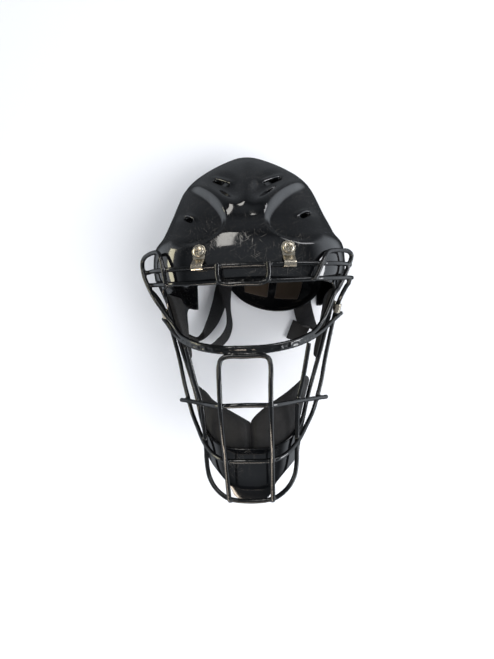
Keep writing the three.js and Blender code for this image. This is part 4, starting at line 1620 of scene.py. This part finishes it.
@dataclass
class CrossScrew:
    """A low domed screw with a cross recess, standing on a plane."""

    radius: float = 5.8
    height: float = 3.0
    edge: float = 0.8
    recess: float = 1.5
    arm: float = 3.2
    slot: float = 0.75
    dome: float = 2.6
    rings: int = 34
    turns: int = 64

    def sunk(self, x: Array, y: Array) -> Array:
        """Say how deep the cross recess is at places on the head.

        Args:
            x: Places across the head.
            y: Places up it.

        Returns:
            The depths.
        """
        arms = [
            smoothstep(self.slot - np.abs(p), -0.3, 0.3) * smoothstep(self.arm - np.abs(q), -0.4, 0.5)
            for p, q in ((x, y), (y, x))
        ]
        return self.recess * np.maximum(*arms)

    def build(self, name: str, axes: Array, origin: Array, turn: float = 0.0) -> Thing:
        """Turn the head and sink its recess.

        Args:
            name: The screw's name.
            axes: The frame's axes as columns, Z out of the head.
            origin: The middle of the head's lower face.
            turn: How far the recess is turned, in degrees.

        Returns:
            The screw.
        """
        rows: list[Array] = []
        span = np.linspace(0, 2 * math.pi, self.turns, endpoint=False)
        for r in np.concatenate([np.linspace(0.0, 0.96, self.rings), [0.985, 1.0]]):
            x, y = self.radius * r * np.cos(span), self.radius * r * np.sin(span)
            top = self.edge + (self.height - self.edge) * math.sqrt(max(0.0, 1 - r**self.dome))
            rows.append(np.stack([x, y, top - self.sunk(*turned(x, y, turn))], axis=1))
        for r, z in ((1.0, self.edge * 0.5), (1.0, 0.12), (0.97, 0.0)):
            x, y = self.radius * r * np.cos(span), self.radius * r * np.sin(span)
            rows.append(np.stack([x, y, np.full(self.turns, z)], axis=1))
        points = np.vstack([*rows, [[0.0, 0.0, 0.0]]])
        count = len(points) - 1
        faces = grid_faces(len(rows), self.turns, closed=True)
        faces += fan_faces(count - self.turns, self.turns, count)
        return NICKEL.put_on(fix_winding(make_object(name, points @ axes.T + origin, faces)))


def band(line: Array, half_widths: Array, thickness: float) -> tuple[Array, Faces]:
    """Make a strip of even thickness along a line in the Y-Z plane.

    Args:
        line: Points of the centre line, y and z.
        half_widths: Half the strip's width along X at each point.
        thickness: The strip's thickness.

    Returns:
        Points and faces.
    """
    ahead = unit(np.gradient(line, axis=0))
    normal = np.stack([-ahead[:, 1], ahead[:, 0]], axis=1)
    x = half_widths[:, None] * np.linspace(-1, 1, 13)
    sheets = []
    for sign in (1, -1):
        edge = line + normal * sign * thickness / 2
        sheets.append(np.stack([x, *(np.repeat(column[:, None], 13, 1) for column in edge.T)], axis=2))
    return closed_sheet(*sheets)


def round_bar(y: float, z: float, radius: float, start: float, end: float, count: int = 28) -> Array:
    """Draw an arc round a bar in the Y-Z plane, between two angles in degrees."""
    turn = np.radians(np.linspace(start, end, count))
    return np.stack([y + radius * np.cos(turn), z + radius * np.sin(turn)], axis=1)


def hooked(straight: Sequence[Row], arc: Array, step: float = 0.5) -> Array:
    """Join a straight part and an arc to one line, and cut it at equal steps."""
    return cut_evenly(np.vstack([straight, arc]), lambda length: int(length / step) + 2)


def press(name: str, points: Array, faces: Faces, edge: float = 0.3) -> Thing:
    """Make a pressed nickel piece with its sharp edges rounded.

    Args:
        name: The piece's name.
        points: Its points in the maker's frame.
        faces: Its faces.
        edge: The breadth of the rounded edges.

    Returns:
        The piece.
    """
    thing = fix_winding(make_object(name, points, faces))
    bevel = thing.modifiers.new("edges", "BEVEL")
    bevel.width = edge * MM
    bevel.segments = 2
    bevel.limit_method = "ANGLE"
    bevel.angle_limit = math.radians(50)
    return NICKEL.put_on(freeze(thing))


@dataclass
class BrowClips:
    """The pressed clips that hold the upper brow bar, each under a cross screw."""

    screw_x: float = 43.8
    screw_y: float = 78.0
    thickness: float = 1.2
    plate_radius: float = 7.2
    width: float = 12.0
    lip_start: float = 8.5
    lip_radius: float = WIRE_RADIUS + 2.5 * GAP

    def build(self, side: Side) -> list[Thing]:
        """Press one clip and turn its screw.

        Args:
            side: The side that it is on.

        Returns:
            The clip and the screw.
        """
        place = FACE.place_at(self.screw_y)
        axes, origin = FACE.frame_on(place, FACE.front_angle(place, self.screw_x), GAP)
        route = (smooth_route(ROUTES[Wire.UPPER_BROW], 0.25) - origin) @ axes
        _, bar_y, bar_z = route[np.argmin(np.abs(route[:, 0]))]
        axes, origin = FACE.frame_on(place, FACE.front_angle(place, side.value * self.screw_x), GAP)
        middle = self.thickness / 2
        plate = [[self.plate_radius, middle], [bar_y + self.lip_start, middle]]
        line = hooked(plate, round_bar(bar_y, bar_z, self.lip_radius + middle, 50, 140))
        edge = math.sqrt(self.plate_radius**2 - (self.width / 2) ** 2)
        round_end = np.sqrt(np.clip(self.plate_radius**2 - line[:, 0] ** 2, 0.02, None))
        points, faces = band(line, np.where(line[:, 0] > -edge, round_end, self.width / 2), self.thickness)
        clip = press(f"clip_{side.label}_pressed", points @ axes.T + origin, faces)
        stand = origin + axes[:, 2] * (self.thickness + GAP)
        turn = {Side.LEFT: 4.0, Side.RIGHT: 12.0}[side]
        return [clip, CrossScrew().build(f"clip_screw_{side.label}_head", axes, stand, turn)]


@dataclass
class SideClips:
    """The small clips that hold the outer ring to the side walls."""

    y: float = 21.0
    tab: float = 14.0
    width: float = 9.0
    thickness: float = 1.2
    play: float = 1.1
    wall_angle: float = 12.0
    stand_off: float = 3.0
    screw_inset: float = 5.0
    screw: CrossScrew = field(default_factory=lambda: CrossScrew(radius=4.0, height=2.6, arm=2.2, slot=0.55))

    def build(self, side: Side) -> list[Thing]:
        """Bend one clip round the outer ring and set its screw.

        Args:
            side: The side that it is on.

        Returns:
            The clip and the screw.
        """
        ring = smooth_route(ROUTES[Wire.OUTER_RING], 0.25)
        k = int(np.argmin(np.abs(ring[:, 1] - self.y)))
        centre = ring[k]
        place, angle = np.array(FACE.place_at(self.y)), np.array(math.radians(self.wall_angle))
        outward = FACE.plain_normal(place, angle)
        along = ring[k + 2] - ring[k - 2]
        along = unit(along - outward * float(along @ outward))
        back = np.cross(outward, along)
        back = -back if back[2] > 0 else back
        axes = np.stack([np.cross(back, outward), back, outward], axis=1)
        seat = float((FACE.plain(place, angle) - centre) @ outward) + 2 * GAP + self.thickness / 2
        reach = WIRE_RADIUS + self.play + self.thickness / 2
        root = reach + self.stand_off
        line = hooked([[root + self.tab, seat], [root, seat]], round_bar(0, 0, reach, -48, 215))
        tip = root + self.tab - self.width / 2
        over = np.clip(line[:, 0] - tip, 0, None)
        round_end = np.sqrt(np.clip((self.width / 2) ** 2 - over**2, 0.02, None))
        points, faces = band(line, np.where(line[:, 0] > tip, round_end, self.width / 2), self.thickness)
        flip = np.array([float(side.value), 1.0, 1.0])
        clip = press(f"side_clip_{side.label}_bent", (points @ axes.T + centre) * flip, faces)
        screw_y = root + self.tab - self.screw_inset
        stand = centre + axes @ np.array([0.0, screw_y, seat + self.thickness / 2 + GAP])
        screw = self.screw.build(f"side_screw_{side.label}_head", axes * flip[:, None], stand * flip)
        return [clip, screw]


# ---------------------------------------------------------------- pads


def edge_round(value: Array, sharp: float = 8.0) -> Array:
    """Fall from 1 in the middle of -1 to 1 to 0 at both ends, with rounded shoulders."""
    return np.clip(1 - np.abs(value) ** sharp, 0, 1) ** (1 / 3)


def unit_grid(rows: int, columns: int, low: float = 0.0) -> list[Array]:
    """Give the two places of each point of an even grid, from low to 1."""
    return np.meshgrid(np.linspace(low, 1, rows), np.linspace(low, 1, columns), indexing="ij")


@dataclass
class SidePads:
    """The felt-faced pads on the side walls, between two heights and between angles round the section."""

    thickness: float = 5.0
    thin: float = 0.2
    seat: float = WALL + GAP + 0.3
    from_y: float = -34.0
    to_y: float = 40.0
    front_angle: float = 30.0
    low_angle: float = 15.0
    back_angle: float = -8.0

    def build(self, side: Side) -> Thing:
        """Make one pad against the wall.

        Args:
            side: The side that it is on.

        Returns:
            The pad.
        """
        u, v = unit_grid(64, 72)
        place = FACE.places_at(self.from_y + (self.to_y - self.from_y) * u)
        low = self.low_angle + (self.back_angle - self.low_angle) * u
        angle = np.radians(low + (self.front_angle - low) * v)
        plump = self.thickness * (edge_round(2 * u - 1) * edge_round(2 * v - 1))
        over = FACE.point(place, angle, self.seat + np.maximum(plump, self.thin))
        points, faces = closed_sheet(over, FACE.point(place, angle, self.seat))
        pad = make_object(f"side_pad_{side.label}_felt", points * (side.value, 1, 1), faces)
        return SIDE_FELT.put_on(fix_winding(pad))


@dataclass
class ChinPads:
    """The two lobes of the chin pad, whose tops slope down to a notch.

    The top of each lobe has the height of its outer end and the fullness of its slope. A crease runs down
    beside the slit, and the front rolls back over a share of the height at the top.
    """

    thickness: float = 24.0
    taper: float = 0.38
    thin: float = 0.8
    left_top: Row = (-63.0, 0.92)
    right_top: Row = (-54.5, 0.72)
    notch_y: float = -94.0
    foot_y: float = -166.0
    foot_end_y: float = -108.0
    reach: float = 62.0
    slit: float = 0.1
    crease_depth: float = 5.0
    crease_width: float = 0.06
    roll_depth: float = 4.0
    roll_share: float = 0.12

    def build(self, side: Side) -> Thing:
        """Mould one lobe against the chin and jaw.

        Args:
            side: The side that it is on.

        Returns:
            The lobe.
        """
        u, v = unit_grid(72, 72)
        side_y, fullness = self.left_top if side is Side.LEFT else self.right_top
        top = self.notch_y + (side_y - self.notch_y) * np.minimum(1, u * 1.15) ** fullness
        foot = self.foot_y + (self.foot_end_y - self.foot_y) * u**2
        place = FACE.places_at(foot + (top - foot) * v)
        angle = np.radians(90 - self.reach * u)
        plump = np.sin(np.pi * np.clip(v, 0.02, 0.98)) ** 0.35 * edge_round(u, 12.0)
        rolled = np.clip((v - 1) / self.roll_share + 1, 0, 1)
        crease = self.crease_depth * np.exp(-((u / self.crease_width) ** 2))
        front = 0.3 + crease + self.roll_depth * (1 - np.sqrt(1 - rolled**2))
        deep = np.maximum(self.thickness * plump * (1 - self.taper * u), front + self.thin)
        sheets = []
        for depth in (deep, front):
            sheet = FACE.point(place, angle, WALL + GAP + depth)
            sheet[..., 0] = np.maximum(sheet[..., 0], 0) + self.slit * (1 - u)
            sheets.append(sheet)
        points, faces = closed_sheet(*sheets)
        lobe = make_object(f"chin_pad_{side.label}_foam", points * (side.value, 1, 1), faces)
        return CHIN_FOAM.put_on(fix_winding(lobe))


# ---------------------------------------------------------------- back plate


@dataclass
class BackPlate:
    """The concave rear plate with a thick rounded rim, and two felt-faced pads on it."""

    x: float = 25.0
    y: float = 70.0
    half_width: float = 65.0
    half_height: float = 46.0
    tilt: float = -10.0
    thickness: float = 4.0
    floor: float = 1.2
    rise: float = 19.0
    bead: float = 1.6
    rim: float = 0.97
    turns: int = 128
    pad_across: Row = (0.08, 0.62)
    pad_up: Row = (-0.6, 0.25)
    pad_thickness: float = 3.0
    pad_thin: float = 0.2

    def dish(self, a: Array, b: Array, height: Array | float) -> Array:
        """Give points of the dish.

        Args:
            a: Places across, as shares of its half width.
            b: Places up, as shares of its half height.
            height: How far above the dish's lower face.

        Returns:
            The points.
        """
        dx, dy = turned(a * self.half_width, b * self.half_height, -self.tilt)
        bowl = self.floor + self.rise * (a * a + b * b) ** 1.1
        return np.stack([self.x + dx, self.y + dy, bowl + height], axis=-1)

    def stations(self) -> list[tuple[float, float]]:
        """List the rings of the plate, up its inside, round its rim and down its back.

        Returns:
            The radius of each, as a share, and its share of the thickness.
        """
        inner = [(r, 1.0) for r in (*np.linspace(0.03, 0.9, 40), *np.linspace(0.915, self.rim, 6))]
        bend = np.linspace(math.pi / 2, -math.pi / 2, 9)[1:-1]
        rim = [(self.rim + 0.03 * math.cos(t), math.sin(t) * 0.5 + 0.5) for t in bend]
        return [*inner, *rim, *((r, 0.0) for r in np.linspace(self.rim, 0.03, 24))]

    def build(self) -> Thing:
        """Mould the plate.

        Returns:
            The plate.
        """
        turns = self.turns
        span = np.linspace(0, 2 * math.pi, turns, endpoint=False)
        rows = []
        for r, share in self.stations():
            lift = self.thickness * share + self.bead * smoothstep(r, 0.86, 0.94) * share
            rows.append(self.dish(r * np.cos(span), r * np.sin(span), lift))
        middle = [[self.x, self.y, self.floor + self.thickness], [self.x, self.y, self.floor]]
        count = len(rows) * turns
        faces = grid_faces(len(rows), turns, closed=True)
        faces += fan_faces(0, turns, count) + fan_faces(count - turns, turns, count + 1)
        plate = make_object("back_plate_moulded", np.vstack([*rows, middle]), faces)
        return PLATE_ABS.put_on(fix_winding(plate))

    def build_pad(self, side: Side) -> Thing:
        """Lay one pad on the dish.

        Args:
            side: The side that it is on.

        Returns:
            The pad.
        """
        u, v = unit_grid(48, 48, -1.0)
        plump = self.pad_thickness * (edge_round(u, 10.0) * edge_round(v, 10.0))
        low, high = sorted(side.value * place for place in self.pad_across)
        across = low + (high - low) * (u + 1) / 2
        up = self.pad_up[0] + (self.pad_up[1] - self.pad_up[0]) * (v + 1) / 2
        # The pad's square is drawn in to the dish's circle.
        a, b = across * np.sqrt(1 - up * up / 2), up * np.sqrt(1 - across * across / 2)
        seat = self.thickness + 2 * GAP
        over = self.dish(a, b, seat + np.maximum(plump, self.pad_thin))
        points, faces = closed_sheet(over, self.dish(a, b, seat))
        pad = make_object(f"back_pad_{side.label}_felt", points, faces)
        return BACK_FELT.put_on(fix_winding(pad))


# ---------------------------------------------------------------- straps

# Centre lines of the straps: x, y, z, then the turn about the line in degrees, and the width.
STRAPS: dict[str, tuple[Row, ...]] = {
    "left_upper": (
        (-78.5, -7.1, 77, 86, 22), (-74, -8, 62, 80, 22), (-66.3, -0.2, 46, 66, 22),
        (-57.6, 15.7, 33, 50, 22), (-50.7, 36.3, 23, 38, 22), (-45.4, 55.8, 16, 26, 23),
        (-36.8, 78.2, 11.5, 14, 24), (-28, 92, 9.4, 6, 24),
    ),
    "left_lower": (
        (-76, -15.8, 90, 86, 20), (-67, -21.2, 72, 72, 20), (-53.5, -19.6, 56, 58, 20),
        (-41.3, -9, 45, 62, 20), (-35.5, 6.8, 38, 72, 20), (-36.8, 25.8, 33.5, 78, 20),
        (-39, 43.7, 33, 62, 21), (-40, 60, 32, 36, 22), (-35, 76, 31, 10, 22),
    ),
    "right": (
        (62, 42, 6.5, -8, 26), (64, 27, 8, -10, 26), (67, 13, 12, -16, 26), (71, 3, 20, -38, 25),
        (75.5, -3, 42, -72, 24), (78.2, -6, 74, -84, 22),
    ),
    "right_end": (
        (65.5, -13, 7, -6, 27), (60, -9.5, 5.5, -4, 27), (54, -5, 5.5, 0, 27), (45, -1, 7.5, 4, 27),
    ),
}


@dataclass
class Straps:
    """The woven elastic straps, ribbed along their length."""

    thickness: float = 1.8
    ribs: int = 14
    rib_height: float = 0.28
    thin: float = 0.05
    across: int = 112
    step: float = 1.0

    def section(self, v: Array) -> Array:
        """Give half the strap's thickness at places across it, from -1 to 1.

        Args:
            v: The places.

        Returns:
            Half thicknesses.
        """
        body = np.clip(1 - np.abs(v) ** 10, 0, 1) ** 0.5
        ribs = self.rib_height * (0.5 + 0.5 * np.cos(math.pi * (v + 1) * self.ribs))
        return np.maximum(self.thickness / 2 * body - ribs * body, self.thin)

    def lay_weave(self, strap: Thing, stations: Array, widths: Array) -> None:
        """Unroll the strap flat, in metres, as its UV map.

        Args:
            strap: The strap's object, its two sides stored one after the other.
            stations: The way along to each row.
            widths: The width of each row.
        """
        corner = np.empty(len(strap.data.loops), int)
        strap.data.loops.foreach_get("vertex_index", corner)
        i, j = np.divmod(corner % (len(stations) * self.across), self.across)
        share = (np.linspace(-1, 1, self.across)[j] + 1) * 0.5
        uv = np.stack([stations[i] * MM, share * widths[i] * MM], axis=1)
        strap.data.uv_layers.new(name="weave").data.foreach_set("uv", uv.ravel().tolist())

    def build(self, label: str) -> Thing:
        """Weave one strap along its centre line.

        Args:
            label: The strap's name in STRAPS.

        Returns:
            The strap.
        """
        rows = np.array(STRAPS[label], float)
        reach = len(rows) - 1
        fine = np.linspace(0, reach, 400)
        run = run_along(read_table(rows, fine)[:, :3])
        stations = np.linspace(0, run[-1], int(run[-1] / self.step))
        u = np.interp(stations, run, fine)
        here = read_table(rows, u)
        ahead = read_table(rows, np.minimum(u + 0.01 * reach, reach))
        behind = read_table(rows, np.maximum(u - 0.01 * reach, 0))
        along = unit(ahead[:, :3] - behind[:, :3])
        level = unit(np.cross(along, (0.0, 0.0, 1.0)))
        turn = np.radians(here[:, 3])[:, None]
        width_way = level * np.cos(turn) + np.cross(along, level) * np.sin(turn)
        out = np.cross(width_way, along)
        v = np.linspace(-1, 1, self.across)
        flat = here[:, None, :3] + width_way[:, None] * (v * 0.5)[None, :, None] * here[:, None, 4:5]
        raised = out[:, None] * self.section(v)[None, :, None]
        points, faces = closed_sheet(flat + raised, flat - raised)
        strap = make_object(f"strap_{label}_woven", points, faces)
        self.lay_weave(strap, stations, here[:, 4])
        return ELASTIC.put_on(fix_winding(strap))


# ---------------------------------------------------------------- the stage


@dataclass(frozen=True)
class BoardPaint(Finish):
    """Matte white paint on a board, with the faint tooth of a roller."""

    tooth: float = 2.5

    def dress(self, tree: Tree, where: bpy.types.NodeSocket) -> dict[str, Any]:
        """Add the tooth."""
        tooth = add_node(tree, NOISE, {"Vector": where, "Scale": per_metre(self.tooth), "Detail": 3.0})
        return {"Normal": add_node(tree, BUMP, {"Height": tooth, "Strength": 0.08, "Distance": 0.5 * MM})}


@dataclass(frozen=True)
class Light:
    """One soft rectangular light: place and target in metres, breadth and height, watts, tint and roll."""

    name: str
    place: Row
    target: Row
    size: Row
    power: float
    tint: str
    roll: float = 0.0

    def hang(self) -> Thing:
        """Hang the light, facing its target and rolled in its own plane by degrees.

        Returns:
            The light.
        """
        data = bpy.data.lights.new(self.name, "AREA")
        data.shape = "RECTANGLE"
        data.size, data.size_y = self.size
        data.energy = self.power
        data.color = hex_to_linear(self.tint)[:3]
        light = add_thing(self.name, data)
        light.location = self.place
        aim = (Vector(self.target) - Vector(self.place)).to_track_quat("-Z", "Y").to_matrix()
        light.rotation_euler = (aim @ Matrix.Rotation(math.radians(self.roll), 3, "Z")).to_euler()
        return light


# Lights that fall on the cloth and the floor, and aren't mirrored in the gloss.
SOFT_LIGHTS = (
    Light("ceiling_cloth", (0.2, 0.0, 2.3), (0.1, 0, 0), (3.2, 3.2), 50.0, "f6f8fb"),
    Light("softbox", (0.95, -0.55, 1.75), (0, 0, 0.1), (1.2, 1.0), 28.0, "fbfcff"),
)

# Cards that are only mirrored in the gloss.
CARDS = (
    Light("window_right", (1.0, 1.2, 1.0), (0, 0, 0.15), (0.8, 0.6), 7.8, "fbfcff"),
    Light("window_top", (-0.36, 1.3, 1.5), (0, 0, 0.15), (0.29, 1.35), 8.58, "fffcf6", roll=-14.0),
    Light("window_low", (-0.4, -1.4, 0.9), (0, 0, 0.15), (1.3, 0.25), 15.6, "ffeeda"),
    Light("window_side", (1.7, -0.1, 0.6), (0, 0, 0.15), (1.0, 0.4), 15.6, "fbfcff"),
    Light("window_left", (-1.7, 0.3, 0.5), (0, 0, 0.15), (1.2, 0.4), 10.92, "fbf3cf"),
)

# Where the room glows: an axis, the places on it where the glow starts and is full, and its strength. The
# walls add up and fade upwards; the glow of the ceiling and the dim glow of the whole room are added to that.
WALL_GLOWS = (
    ("X", 0.45, 0.95, 1.5),
    ("X", -0.55, -0.95, 1.0),
    ("Y", -0.35, -0.95, 0.9),
    ("Y", 0.3, 0.9, 0.16),
)
WALL_FADE = ("Z", 0.65, 0.05, 1.0)
CEILING_GLOW = ("Z", 0.5, 0.97, 0.32)
DIM_GLOW = 0.06


@dataclass
class Studio:
    """A pale floor, soft lights and the camera."""

    camera_place: Row = (0.03738, -0.01876, 0.69859)
    camera_right: Row = (0.99668, -0.03211, -0.07477)
    camera_up: Row = (0.03202, 0.99948, -0.00240)
    camera_back: Row = (0.07480, 0.0, 0.99720)
    lens: float = 27.04
    sensor: float = 36.0
    floor_reach: float = 4.0

    def aim_camera(self) -> None:
        """Set the camera over the face."""
        data = bpy.data.cameras.new("camera")
        data.lens = self.lens
        data.sensor_width = self.sensor
        data.clip_start, data.clip_end = 0.01, 50.0
        camera = add_thing("camera", data)
        turn = Matrix((self.camera_right, self.camera_up, self.camera_back)).transposed()
        camera.matrix_world = Matrix.Translation(self.camera_place) @ turn.to_4x4()
        bpy.context.scene.camera = camera

    def lay_floor(self) -> None:
        """Lay the floor, which isn't mirrored in the gloss."""
        r = self.floor_reach
        mesh = bpy.data.meshes.new("floor")
        mesh.from_pydata([(-r, -r, 0), (r, -r, 0), (r, r, 0), (-r, r, 0)], [], [(0, 1, 2, 3)])
        floor = add_thing("floor", mesh)
        mesh.materials.append(BoardPaint("board_matte_white", "", "f4f4f6", 0.7).material())
        floor.visible_glossy = False

    def glow(self) -> None:
        """Make the room: dim walls and ceiling that brighten smoothly by direction, for the gloss."""
        world = bpy.data.worlds.new("room")
        bpy.context.scene.world = world
        world.use_nodes = True
        tree = world.node_tree
        tree.nodes.clear()
        way = add_node(tree, "ShaderNodeTexCoord").outputs["Generated"]
        axes = add_node(tree, "ShaderNodeSeparateXYZ", {"Vector": way})
        rises = []
        for axis, low, high, glow in (*WALL_GLOWS, WALL_FADE, CEILING_GLOW):
            rise = {"Value": axes.outputs[axis], "From Min": low, "From Max": high, "To Max": glow}
            rises.append(add_node(tree, MAP_RANGE, rise, interpolation_type="SMOOTHSTEP"))
        *walls, fade, ceiling = rises
        total = walls[0]
        for wall in walls[1:]:
            total = add_node(tree, MATH, {0: total, 1: wall})
        total = add_node(tree, MATH, {0: total, 1: fade}, operation="MULTIPLY")
        for more in (ceiling, DIM_GLOW):
            total = add_node(tree, MATH, {0: total, 1: more})
        room = add_node(tree, "ShaderNodeBackground", {"Color": hex_to_linear("e6edf5"), "Strength": total})
        add_node(tree, "ShaderNodeOutputWorld", {"Surface": room})

    def set_up(self) -> None:
        """Make the camera, the floor, the room and the lights."""
        self.aim_camera()
        self.lay_floor()
        self.glow()
        for row in SOFT_LIGHTS:
            light = row.hang()
            light.visible_glossy = light.visible_camera = False
        for row in CARDS:
            row.hang().visible_diffuse = False
        view = bpy.context.scene.view_settings
        view.view_transform = "Standard"
        view.look = "None"


# ---------------------------------------------------------------- everything in order


def mount(piece: Thing, *nodes: str) -> None:
    """Fix a piece to the helmet, let it stand for its solids, and report it.

    Args:
        piece: The piece.
        *nodes: The solids that it stands for.
    """
    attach(piece, "root")
    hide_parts(*nodes)
    LOG.info("%s stands for %s", piece.name, ", ".join(nodes))


# Each kind of clip, and the names of the solids of its clips and screws.
CLIPS = ((BrowClips(), "clip", "clip_screw"), (SideClips(), "side_clip", "side_screw"))


def main() -> None:
    """Build the helmet and the studio."""
    logging.basicConfig(level=logging.INFO, format="%(name)s: %(message)s")
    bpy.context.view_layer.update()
    Studio().set_up()
    mount(Shell().build(), "shell")
    mount(Cage().build(), "cage")
    for side in Side:
        for pair, clip_node, screw_node in CLIPS:
            clip, screw = pair.build(side)
            mount(clip, f"{clip_node}_{side.label}")
            mount(screw, f"{screw_node}_{side.label}")
        pad = SidePads().build(side)
        mount(pad, f"side_pad_{side.label}")
        lobe = ChinPads().build(side)
        mount(lobe, f"chin_pad_{side.label}")
    plate = BackPlate()
    mount(plate.build(), "back_plate")
    for side in Side:
        pad = plate.build_pad(side)
        mount(pad, f"back_pad_{side.label}")
    for label in STRAPS:
        mount(Straps().build(label), f"strap_{label}")


if __name__ == "__main__":
    main()
